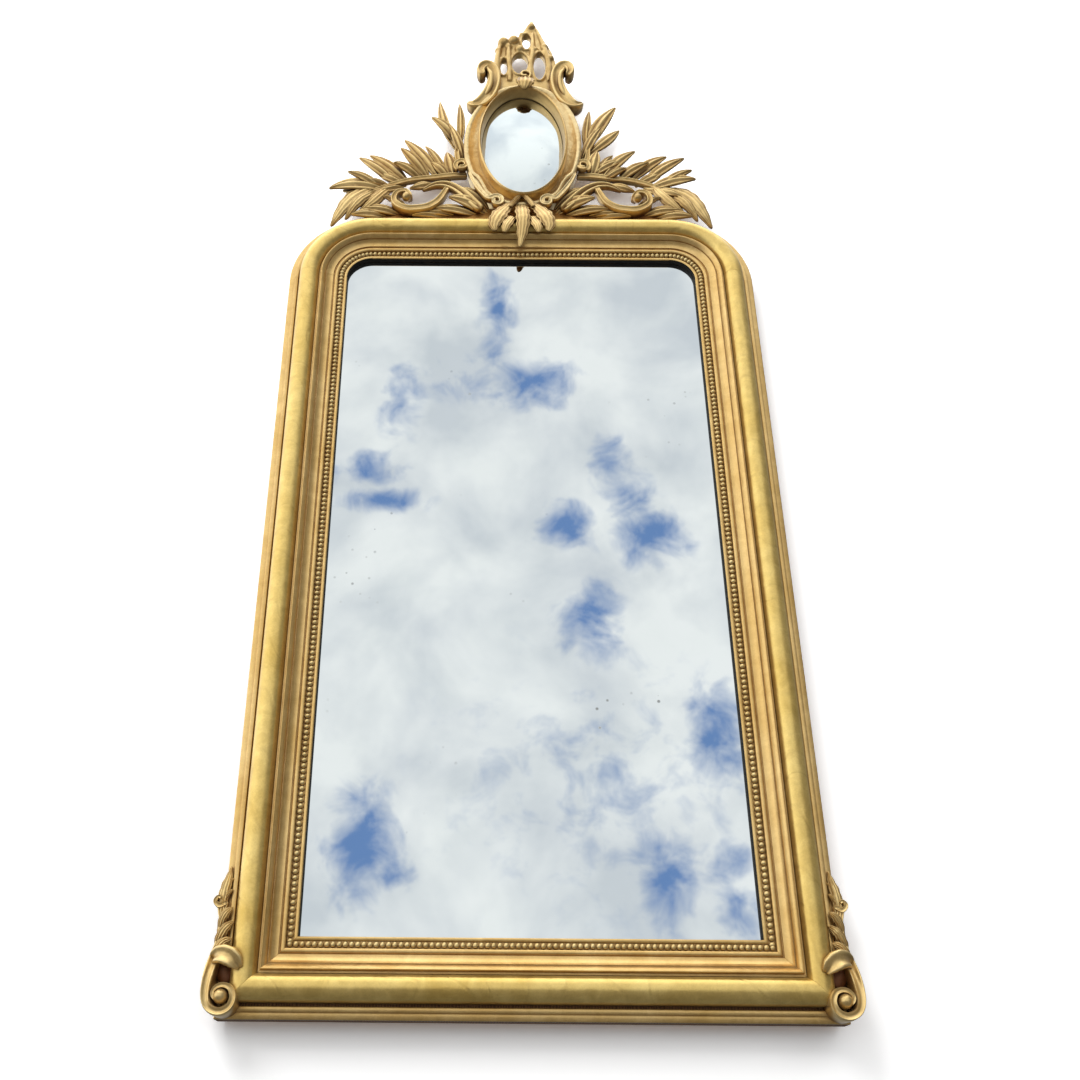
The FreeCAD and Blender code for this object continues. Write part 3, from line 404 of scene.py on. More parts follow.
class NodeDesk:
    """Adds and joins shader nodes in one tree."""

    def __init__(self, tree: Tree) -> None:
        """Start on a tree."""
        self.tree = tree

    def feed(self, node: Node, inputs: Inputs) -> None:
        """Set a node's inputs to values or link them to sockets, by name or number."""
        for key, value in inputs.items():
            if isinstance(value, Socket):
                self.tree.links.new(value, node.inputs[key])
            else:
                node.inputs[key].default_value = value

    def add(self, kind: str, inputs: Inputs | None = None, **settings: object) -> Node:
        """A shader node.

        Args:
            kind: The node's type, without the ShaderNode before it.
            inputs: Values or sockets by input name or number.
            **settings: The node's own settings.

        Returns:
            The node.
        """
        node = self.tree.nodes.new("ShaderNode" + kind)
        for key, value in settings.items():
            setattr(node, key, value)
        self.feed(node, inputs or {})
        return node

    def where(self) -> Socket:
        """Coordinates that stay with the object."""
        return self.add("TexCoord").outputs["Object"]

    def noise(self, vector: Socket, scale: float, detail: float = 3.0, rough: float = 0.55,
              distortion: float = 0.0) -> Socket:
        """A noise value over a vector."""
        return self.add("TexNoise", {"Vector": vector, "Scale": scale, "Detail": detail,
                                     "Roughness": rough, "Distortion": distortion}).outputs["Fac"]

    def cells(self, vector: Socket, scale: float) -> Socket:
        """How far a vector lies from the middle of its cell."""
        return self.add("TexVoronoi", {"Vector": vector, "Scale": scale}).outputs[0]

    def waves(self, vector: Socket, direction: str, *numbers: float) -> Socket:
        """Bent bands over a vector: their scale, distortion, detail and scale of detail."""
        labels = ("Scale", "Distortion", "Detail", "Detail Scale")
        return self.add("TexWave", {"Vector": vector, **dict(zip(labels, numbers))},
                        bands_direction=direction).outputs["Fac"]

    def remap(self, value: Socket, low: float, high: float, to_low: float = 0.0,
              to_high: float = 1.0) -> Socket:
        """A value stretched from one range onto another and held within it."""
        return self.add("MapRange", {"Value": value, "From Min": low, "From Max": high,
                                     "To Min": to_low, "To Max": to_high}).outputs["Result"]

    def mix(self, share: Socket, first: object, second: object) -> Socket:
        """Two colours mixed by a share."""
        return self.add("Mix", {0: share, 6: first, 7: second}, data_type="RGBA").outputs[2]

    def math(self, operation: str, *values: object, clamp: bool = False) -> Socket:
        """A calculation taken from value to value, the last result held in 0 to 1 by clamp."""
        whole = values[0]
        for i, value in enumerate(values[1:], 2):
            whole = self.add("Math", {0: whole, 1: value}, operation=operation,
                             use_clamp=clamp and i == len(values)).outputs[0]
        return whole

    def times(self, *values: object, clamp: bool = False) -> Socket:
        """The product of values."""
        return self.math("MULTIPLY", *values, clamp=clamp)

    def total(self, *parts: tuple[object, float]) -> Socket:
        """The sum of values, each times its weight."""
        return self.math("ADD", *(self.times(*part) for part in parts))

    def vector(self, operation: str, *values: object) -> bpy.types.bpy_prop_collection:
        """A calculation on vectors: the node's outputs."""
        return self.add("VectorMath", dict(enumerate(values)), operation=operation).outputs

    def bump(self, height: Socket, strength: float, distance: float) -> Socket:
        """The normal over a height."""
        return self.add("Bump", {"Height": height, "Strength": strength,
                                 "Distance": distance}).outputs["Normal"]

    def shade(self, share: Socket, first: Socket, second: Socket) -> Socket:
        """Two shaders mixed by a share."""
        return self.add("MixShader", {0: share, 1: first, 2: second}).outputs[0]


class SharedEffects:
    """Shader node groups that several finishes use."""

    @staticmethod
    def group(name: str, inputs: Inputs, outputs: Sequence[str]) -> tuple[
            NodeDesk, bpy.types.bpy_prop_collection, Node]:
        """An empty group with its sockets.

        Args:
            name: The group's name.
            inputs: The default of each input: a colour, a vector or a number.
            outputs: The label of each output: the colour first, then numbers.

        Returns:
            A desk on the group, what its input gives, and its output node.
        """
        tree = bpy.data.node_groups.new(name, "ShaderNodeTree")
        kinds = {4: "NodeSocketColor", 3: "NodeSocketVector", 0: "NodeSocketFloat"}
        for label, value in inputs.items():
            size = len(value) if isinstance(value, tuple) else 0
            tree.interface.new_socket(label, in_out="INPUT",
                                      socket_type=kinds[size]).default_value = value
        for label in outputs:
            tree.interface.new_socket(label, in_out="OUTPUT",
                                      socket_type=kinds[4 if label == "Color" else 0])
        return (NodeDesk(tree), tree.nodes.new("NodeGroupInput").outputs,
                tree.nodes.new("NodeGroupOutput"))

    @staticmethod
    def gilding() -> Tree:
        """Gold leaf on red-brown bole: leaf tones, stains, painted shade in hollows, painted
        highlight on ridges.
        """
        desk, given, out = SharedEffects.group(
            "gilding_wear_and_shade", {"Leaf": WHITE, "Pale": WHITE, "Bole": WHITE, "DeepShade": BLACK,
                             "ShadeStrength": 0.5, "Hollow": 0.006, "Scales": 0.0, "Lines": 0.0},
            ("Color", "Roughness", "Metallic", "Height"))
        where = desk.where()
        broad = desk.noise(where, 11.0, 3.0)
        cloudy = desk.noise(where, 46.0, 5.0, 0.62, 0.6)
        fine = desk.noise(where, 420.0, 4.0, 0.6)
        patchy = desk.remap(desk.noise(where, 90.0, 4.0), 0.3, 0.62, 0.55, 1.0)
        cells = desk.cells(where, 130.0)
        line = desk.remap(desk.waves(where, "DIAGONAL", 9.0, 16.0, 2.0, 0.9), 0.06, 0.0)
        # open_share is the ambient occlusion: low in hollows and between parts, where it feeds
        # painted shade
        open_share = desk.add("AmbientOcclusion", {"Distance": given["Hollow"]},
                              samples=8).outputs["AO"]
        relief = desk.add("Attribute", attribute_name="relief").outputs["Fac"]
        tone = desk.remap(desk.total((broad, 1.0), (cloudy, 0.4)), 0.45, 1.0)
        speck = desk.remap(desk.total((cloudy, 1.0), (fine, 0.6)), 0.66, 1.0)
        thin = desk.times(desk.math("SUBTRACT", 1.0, speck), 0.22)
        # hollow_shade is painted shade: bole brown where the occlusion is low, broken by noise; it
        # also lowers metallic and raises roughness there
        hollow_shade = desk.times(desk.remap(open_share, 0.84, 0.34), patchy, given["ShadeStrength"], clamp=True)
        # valley is painted shade: bole brown along the valleys of the carved members' sections
        valley = desk.times(desk.remap(relief, 0.1, -0.9, 0.0, 0.95), patchy)
        # ridge is a painted highlight: pale gold along the ridges of the carved members' sections
        ridge = desk.remap(relief, 0.35, 1.0, 0.0, 0.6)
        # black is painted shade: near-black where the ambient occlusion is lowest
        black = desk.times(desk.remap(open_share, 0.4, 0.1), given["ShadeStrength"], clamp=True)
        seam = desk.times(line, 0.5, given["Lines"], clamp=True)
        colour = desk.mix(tone, given["Leaf"], given["Pale"])
        for share, tint in ((thin, "Bole"), (hollow_shade, "Bole"), (valley, "Bole"), (ridge, "Pale"),
                            (black, "DeepShade"), (seam, "Bole")):
            colour = desk.mix(share, colour, given[tint])
        height = desk.total((broad, 0.5), (cloudy, 0.3), (fine, 0.1))
        for pattern, depth in ((cells, "Scales"), (line, "Lines")):
            height = desk.math("SUBTRACT", height, desk.times(pattern, given[depth]))
        rough = desk.remap(desk.total((cloudy, 0.7), (hollow_shade, 0.5)), 0.2, 0.8, 0.3, 0.5)
        desk.feed(out, {"Color": colour, "Roughness": rough, "Height": height,
                        "Metallic": desk.remap(hollow_shade, 0.0, 1.0, 0.8, 0.05)})
        return desk.tree

    @staticmethod
    def grain() -> Tree:
        """Old softwood: year rings, fibres and dust."""
        desk, given, out = SharedEffects.group(
            "old_pine_grain", {"Light": WHITE, "Dark": WHITE, "Stretch": (1.0, 1.0, 1.0)},
            ("Color", "Roughness", "Height"))
        where = desk.where()
        run = desk.vector("MULTIPLY", where, given["Stretch"])[0]
        rings = desk.waves(run, "X", 6.0, 7.0, 3.0, 0.8)
        fibres = desk.noise(run, 120.0, 3.0)
        stain = desk.remap(desk.noise(where, 5.0, 4.0), 0.48, 0.75, 0.0, 0.5)
        share = desk.total((rings, 0.5), (fibres, 0.5))
        colour = desk.mix(desk.remap(share, 0.2, 0.85), given["Light"], given["Dark"])
        desk.feed(out, {"Color": desk.mix(stain, colour, given["Dark"]), "Height": share,
                        "Roughness": desk.remap(fibres, 0.2, 0.8, 0.62, 0.85)})
        return desk.tree


class Finish:
    """What every finish shares: one Principled material, fed by its own paint()."""

    name: str

    def paint(self, desk: NodeDesk, *shared: Tree) -> Inputs:
        """The Principled shader's inputs, from the shared effects that the finish takes."""
        raise NotImplementedError

    def make(self, *shared: Tree) -> Material:
        """The material."""
        material = bpy.data.materials.new(self.name)
        material.use_nodes = True
        desk = NodeDesk(material.node_tree)
        desk.feed(desk.tree.nodes["Principled BSDF"], self.paint(desk, *shared))
        return material


@dataclass(frozen=True)
class GoldLeaf(Finish):
    """Gold leaf over red-brown bole."""

    name: str
    leaf: Rgb
    pale: Rgb
    bole: Rgb = (128, 74, 36)
    # deep_shade is the near-black of the deepest painted shade in hollows
    deep_shade: Rgb = (58, 38, 18)
    # shade_strength and hollow set the strength and reach of the painted shade in hollows
    shade_strength: float = 0.8
    hollow: float = 6.0
    relief: float = 0.35
    scales: float = 0.0
    lines: float = 0.0
    bump_height: float = 1.6

    def paint(self, desk: NodeDesk, *shared: Tree) -> Inputs:
        """The shared gilding in this finish's colours."""
        gilt = desk.add("Group", node_tree=shared[0])
        desk.feed(gilt, {"Leaf": linear(*self.leaf), "Pale": linear(*self.pale),
                         "Bole": linear(*self.bole), "DeepShade": linear(*self.deep_shade),
                         "ShadeStrength": self.shade_strength, "Hollow": self.hollow * MM,
                         "Scales": self.scales, "Lines": self.lines})
        gilt = gilt.outputs
        return {"Base Color": gilt["Color"], "Roughness": gilt["Roughness"],
                "Metallic": gilt["Metallic"],
                "Normal": desk.bump(gilt["Height"], self.relief, self.bump_height * MM)}


@dataclass(frozen=True)
class OldPine(Finish):
    """Bare old pine."""

    name: str
    light: Rgb
    dark: Rgb
    stretch: Point3 = (14.0, 14.0, 1.2)

    def paint(self, desk: NodeDesk, *shared: Tree) -> Inputs:
        """The shared grain in this wood's colours."""
        wood = desk.add("Group", node_tree=shared[0])
        desk.feed(wood, {"Light": linear(*self.light), "Dark": linear(*self.dark),
                         "Stretch": self.stretch})
        return {"Base Color": wood.outputs["Color"], "Roughness": wood.outputs["Roughness"],
                "Normal": desk.bump(wood.outputs["Height"], 0.3, 0.6 * MM)}


@dataclass(frozen=True)
class DarkRebate(Finish):
    """The blackened wall of the rebate in front of the plate."""

    name: str

    def paint(self, desk: NodeDesk, *shared: Tree) -> Inputs:
        """Black with some dust."""
        dust = desk.remap(desk.noise(desk.where(), 60.0, 4.0), 0.45, 0.8)
        return {"Base Color": desk.mix(dust, linear(14, 12, 9), linear(46, 38, 26)),
                "Roughness": 0.75}


@dataclass(frozen=True)
class OldSilver(Finish):
    """Old silvered plate with foxing specks."""

    name: str
    silver: Rgb = (213, 215, 214)
    specks: float = 1.0

    def paint(self, desk: NodeDesk, *shared: Tree) -> Inputs:
        """Silver with haze, and specks where the patches lie."""
        where = desk.where()
        haze = desk.remap(desk.noise(where, 7.0, 4.0), 0.45, 0.75, 0.0, 0.25)
        patch = desk.remap(desk.noise(where, 6.0, 2.0), 0.6, 0.72)
        speck = desk.times(desk.remap(desk.cells(where, 55.0), 0.16, 0.08), patch, clamp=True)
        speck = desk.times(speck, self.specks)
        colour = desk.mix(haze, linear(*self.silver), linear(198, 203, 200))
        return {"Base Color": desk.mix(speck, colour, linear(96, 88, 72)), "Metallic": 1.0,
                "Roughness": desk.remap(speck, 0.0, 1.0, 0.02, 0.45)}


@dataclass(frozen=True)
class OldIron(Finish):
    """Hand-worked iron with a brown skin."""

    name: str

    def paint(self, desk: NodeDesk, *shared: Tree) -> Inputs:
        """Grey iron with rust."""
        rust = desk.noise(desk.where(), 120.0, 5.0, 0.65)
        return {"Base Color": desk.mix(desk.remap(rust, 0.42, 0.66), linear(58, 54, 50),
                                       linear(98, 62, 40)),
                "Roughness": desk.remap(rust, 0.3, 0.7, 0.38, 0.75), "Metallic": 0.8,
                "Normal": desk.bump(rust, 0.4, 0.5 * MM)}


FINISHES: dict[str, Finish] = {
    "gold": GoldLeaf("gold_leaf_mouldings", (220, 180, 106), (242, 208, 142), (148, 98, 46),
                     (88, 58, 26), shade_strength=0.6, hollow=5.0, relief=0.5),
    "torus": GoldLeaf("gold_leaf_torus", (224, 188, 100), (248, 218, 138), (140, 100, 44),
                      shade_strength=0.6, hollow=9.0, relief=0.6, lines=0.2),
    # A very dark finish that paints shadow, for the piece in each ear's hollow under its leaf
    "bole": GoldLeaf("painted_shadow_brown", (84, 46, 24), (108, 66, 34), shade_strength=1.0, hollow=16.0),
    "carved": GoldLeaf("gold_leaf_carving", (180, 141, 78), (244, 212, 146), (98, 60, 28),
                       (48, 30, 14), shade_strength=1.0, hollow=10.0, relief=1.0),
    "ear_gold": GoldLeaf("gold_leaf_ears", (216, 180, 112), (244, 214, 150), (112, 70, 34),
                         hollow=4.5, relief=0.7),
    "field_gold": GoldLeaf("gold_leaf_field", (222, 194, 134), (242, 218, 164), shade_strength=0.35,
                           hollow=4.0, relief=0.7, scales=0.45),
    "pearl": GoldLeaf("gold_leaf_pearls", (226, 194, 126), (246, 222, 162), (120, 80, 42),
                      hollow=2.6),
    # The crest base rail's darker gold is painted shade, for the rail lying behind the carving
    "rail": GoldLeaf("gold_leaf_rail", (168, 120, 60), (196, 148, 78), shade_strength=1.0, hollow=14.0),
    "pine": OldPine("old_pine_carcass", (150, 112, 72), (96, 64, 38)),
    "back": OldPine("bare_wood_back", (146, 106, 66), (100, 68, 42)),
    "boards": OldPine("old_pine_planks", (138, 104, 70), (84, 58, 36)),
    "black": DarkRebate("rebate_black"),
    "plate": OldSilver("silvered_plate"),
    "oval": OldSilver("silvered_oval", (210, 214, 213), 0.6),
    "iron": OldIron("old_iron"),
}


def make_palette() -> Palette:
    """The material of every finish, made once from the shared effects."""
    shared = {GoldLeaf: [SharedEffects.gilding()], OldPine: [SharedEffects.grain()]}
    return {key: finish.make(*shared.get(type(finish), [])) for key, finish in FINISHES.items()}


BACK_FACING = 0.8       # gilded pieces are bare wood where the normal points back by more


def dress(piece: Piece, finish: Material, nodes: Sequence[str], slot: str = "giltwood") -> None:
    """Give a new piece its finish, gilded pieces with a bare back, and hide the CAD nodes it
    replaces.

    Args:
        piece: The new piece.
        finish: Its material.
        nodes: The nodes it replaces.
        slot: The record's material slot.
    """
    if finish.name not in piece.data.materials:
        piece.data.materials.append(finish)
    if slot == "giltwood":
        piece.data.materials.append(bpy.data.materials["bare_wood_back"])
        for face in piece.data.polygons:
            if face.normal.y > BACK_FACING:
                face.material_index = len(piece.data.materials) - 1
    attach(piece, "mirror")
    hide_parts(*nodes)
    LOG.info("%s: %d faces", piece.name, len(piece.data.polygons))


def carving(node: str, pieces: Sequence[Piece], finish: Material) -> None:
    """Join the members of one carving and dress it, named for the node it replaces."""
    dress(Bench.join("carved_" + node, pieces), finish, [node])


# ---- mouldings -----------------------------------------------------------------------
@dataclass
class Mouldings:
    """The four rows of moulding round the plate, each in six lengths."""

    palette: Palette
    torus_in: float = 19.5
    torus_width: float = 34.0
    torus_rise: float = 60.8
    sight_rise: float = 37.0
    sight_fillet: float = 5.2
    bead_channel: float = 9.6
    channel_rise: float = 34.2
    bead_radius: float = 4.2
    bead_rise: float = 39.7
    bead_pitch: float = 8.0
    bead_share: float = 0.49     # half a pearl's length, as a share of the pitch
    bead_uneven: float = 0.05    # how much the pearls' lengths differ
    corner_pitch: float = 0.86   # the pitch round a corner, as a share of the pitch
    ovolo_width: float = 6.7
    ovolo_rise: float = 41.0
    quirk: float = 1.5
    cove_width: float = 11.0
    cove_rise: float = 47.0
    band_width: float = 7.5
    band_rise: float = 54.6
    groove_rise: float = 47.0
    crown_steps: int = 22
    ovolo_steps: int = 8
    ovolo_swell: float = 2.2
    cove_steps: int = 6
    arris: float = 0.25

    def lip_profile(self) -> list[Point2]:
        """Stepped lip, as (inset, rise) points."""
        return [(0.0, SIZE.carcass), (0.0, 28.4), (0.5, 29.5), (1.6, 30.0), (6.8, 30.0),
                (7.9, 30.2), (8.5, 30.9), (8.6, 32.6), (9.0, 33.6), (10.0, 34.0), (14.0, 34.0),
                (15.0, 33.5), (15.5, 32.4), (15.5, SIZE.carcass)]

    def torus_profile(self) -> list[Point2]:
        """The big half-round, as (inset, rise) points."""
        radius = self.torus_width / 2.0
        middle, spring = self.torus_in + radius, self.torus_rise - radius
        turns = [math.pi * i / self.crown_steps for i in range(self.crown_steps + 1)]
        crown = [(middle + radius * math.cos(turn), spring + radius * math.sin(turn))
                 for turn in turns]
        return [(self.torus_in, SIZE.carcass),
                (self.torus_in + self.torus_width, SIZE.carcass)] + crown

    def inner_profile(self) -> list[Point2]:
        """Sight fillet, channel, ovolo, cove and high band, as (inset, rise) points."""
        sight, back, swell = SIZE.border, SIZE.carcass, self.ovolo_swell
        a = sight - self.sight_fillet
        b = a - self.bead_channel
        c = b - self.ovolo_width
        d = c - self.quirk
        e = d - self.cove_width
        f = e - self.quirk
        g = f - self.band_width
        low, mid, cove_top, top = self.sight_rise, self.ovolo_rise, self.cove_rise, self.band_rise
        edge, groove = self.torus_in + self.torus_width, self.groove_rise
        turns = [math.pi * i / self.ovolo_steps for i in range(self.ovolo_steps + 1)]
        ovolo = [((b + c) / 2.0 + self.ovolo_width / 2.0 * math.cos(turn),
                  mid - swell + swell * math.sin(turn)) for turn in turns]
        cove = [(d - self.cove_width * i / self.cove_steps,
                 mid + 0.4 + (cove_top - mid - 0.4) * (i / self.cove_steps) ** 2)
                for i in range(self.cove_steps + 1)]
        return ([(sight, back), (sight, low - 1.6), (sight - 0.4, low - 0.5), (sight - 1.4, low),
                 (a + 1.2, low), (a + 0.3, low - 0.5), (a, low - 1.4), (a, self.channel_rise),
                 (b, self.channel_rise)] + ovolo + [(c - 0.3, mid - 2.6), (d, mid - 2.4)] + cove
                + [(e, cove_top - 1.4), (f, cove_top - 1.4), (f, cove_top + 1.0),
                   (f - 0.2 * self.band_width, cove_top + 3.4),
                   (f - 0.5 * self.band_width, cove_top + 5.6), (g + 1.6, top),
                   (g + 0.5, top - 0.2), (g, top - 1.0), (g, groove + 0.8), (g - 0.8, groove),
                   (edge, groove), (edge, back)])

    def straight(self, name: str, profile: Sequence[Point2],
                 place: Callable[[float, float], Vector], along: Point3) -> Piece:
        """One straight length: its profile, extruded along the run and capped.

        Args:
            name: The piece's name.
            profile: The (inset, rise) points.
            place: Where a profile point lies at the start of the run.
            along: The run, in millimetres.

        Returns:
            The length, in object mode.
        """
        piece = Bench.start_ring(name, [place(u, rise) for u, rise in profile])
        bpy.ops.mesh.extrude_edges_move(TRANSFORM_OT_translate={"value": Vector(along) * MM})
        return Bench.cap(piece, len(profile))

    def corner(self, name: str, profile: Sequence[Point2], side: int) -> Piece:
        """One rounded top corner: the profile, spun a quarter turn and capped."""
        cx, cz = SIZE.corner
        piece = Bench.start_ring(name, [at(side * (SIZE.half - u), cz, rise)
                                        for u, rise in profile])
        bpy.ops.mesh.edge_face_add()
        bpy.ops.mesh.spin(steps=24, angle=side * math.pi / 2.0, center=at(side * cx, cz, 0.0),
                          axis=(0, 1, 0))
        return Bench.close(piece)

    def lengths(self, row: str, profile: Sequence[Point2]) -> dict[str, Piece]:
        """The six lengths of one row of moulding, by side."""
        cx, cz = SIZE.corner
        half, high = SIZE.half, SIZE.height
        made = {}
        for word, side in SIDES:
            made[word] = self.straight("gilt_%s_%s" % (word, row), profile,
                                       lambda u, r, s=side: at(s * (half - u), 0.0, r),
                                       (0.0, 0.0, cz))
            self.mitre(made[word], side, stile=True)
            made[word + "_corner"] = self.corner("gilt_%s_corner_%s" % (word, row), profile, side)
        made["bottom"] = self.straight("gilt_bottom_" + row, profile,
                                       lambda u, r: at(-half, u, r), (SIZE.width, 0.0, 0.0))
        for _, side in SIDES:
            self.mitre(made["bottom"], side, stile=False)
        made["top"] = self.straight("gilt_top_" + row, profile, lambda u, r: at(-cx, high - u, r),
                                    (2.0 * cx, 0.0, 0.0))
        for piece in made.values():
            Bench.apply(piece, "BEVEL", width=self.arris * MM, segments=1, limit_method="ANGLE",
                        angle_limit=math.radians(40.0))
            Bench.smooth(piece, 30.0)
        return made

    @staticmethod
    def mitre(piece: Piece, side: int, stile: bool) -> None:
        """Cut a stile or the bottom rail at the bottom mitre on one side."""
        Bench.pick(piece)
        bpy.ops.object.mode_set(mode="EDIT")
        bpy.ops.mesh.select_all(action="SELECT")
        outwards = Vector((side, 0, 1)).normalized()
        bpy.ops.mesh.bisect(plane_co=at(side * SIZE.half, 0.0, 0.0), plane_no=outwards,
                            use_fill=True, clear_inner=stile, clear_outer=not stile)
        Bench.close(piece)

    def blacken(self, piece: Piece) -> None:
        """Give the wall behind the sight edge its own dark finish."""
        for finish in ("gold", "black"):
            piece.data.materials.append(self.palette[finish])
        for face in piece.data.polygons:
            rise = SIZE.carcass / 2.0 - face.center.y / MM
            if inset_of(face.center) > SIZE.border - 0.15 and rise < self.sight_rise - 1.0:
                face.material_index = 1

    def pearl_places(self) -> dict[str, list[Point3]]:
        """(x, z, direction in degrees) of every pearl, by length."""
        middle = SIZE.border - self.sight_fillet - self.bead_channel / 2.0
        cx, cz = SIZE.corner
        radius = SIZE.corner_radius - middle
        x, low, high = SIZE.half - middle, middle, SIZE.height - middle
        count = round((cz - low) / self.bead_pitch)
        step = (cz - low) / count
        side = [low + step * (i + 0.5) for i in range(count)]
        row = round(2.0 * x / self.bead_pitch)
        across = [-x + 2.0 * x * i / row for i in range(row + 1)]
        arc = round(radius * math.pi / 2.0 / (self.bead_pitch * self.corner_pitch))
        top_count = round(2.0 * cx / self.bead_pitch)
        top = [(-cx + 2.0 * cx * (i + 0.5) / top_count, high, 0.0) for i in range(top_count)]
        for i in range(arc):
            turn = 90.0 * (i + 0.5) / arc
            top += [(s * (cx + radius * math.cos(math.radians(turn))),
                     cz + radius * math.sin(math.radians(turn)), s * (90.0 - turn))
                    for s in (-1, 1)]
        return {"left": [(-x, z, 90.0) for z in side], "right": [(x, z, 90.0) for z in side],
                "bottom": [(u, low, 0.0) for u in across], "top": top}

    def pearls(self) -> None:
        """Model one pearl, copy it along the channel and join each length's row."""
        Bench.clear()
        bpy.ops.mesh.primitive_uv_sphere_add(segments=10, ring_count=6, radius=1.0,
                                             location=(0, 0, 0))
        pattern = bpy.context.object
        bpy.ops.object.mode_set(mode="EDIT")
        bpy.ops.mesh.select_all(action="SELECT")
        bpy.ops.transform.resize(value=(self.bead_pitch * self.bead_share * MM,
                                        self.bead_radius * MM * 1.05, self.bead_radius * MM))
        bpy.ops.object.mode_set(mode="OBJECT")
        bpy.ops.object.shade_smooth()
        for word, places in self.pearl_places().items():
            copies = []
            for i, (x, z, turn) in enumerate(places):
                copy = bpy.data.objects.new("pearl", pattern.data.copy())
                bpy.context.collection.objects.link(copy)
                grow = 1.0 + self.bead_uneven * math.sin(i * 2.4)
                spot = at(x, z, self.bead_rise - self.bead_radius)
                copy.data.transform(Matrix.Translation(spot)
                                    @ Matrix.Rotation(math.radians(turn), 4, "Y")
                                    @ Matrix.Scale(grow, 4, (1, 0, 0)))
                copies.append(copy)
            dress(Bench.join("gilt_%s_pearls" % word, copies), self.palette["pearl"],
                  [word + "_pearls"])
        bpy.data.objects.remove(pattern)

    def build(self) -> None:
        """Model and dress every length."""
        rows = {"lip": self.lip_profile(), "torus": self.torus_profile(),
                "inner_moulding": self.inner_profile()}
        for row, profile in rows.items():
            for word, piece in self.lengths(row, profile).items():
                if row == "inner_moulding":
                    self.blacken(piece)
                finish = self.palette["torus"] if row == "torus" else self.palette["gold"]
                dress(piece, finish, ["%s_%s" % (word, row)])
        self.pearls()


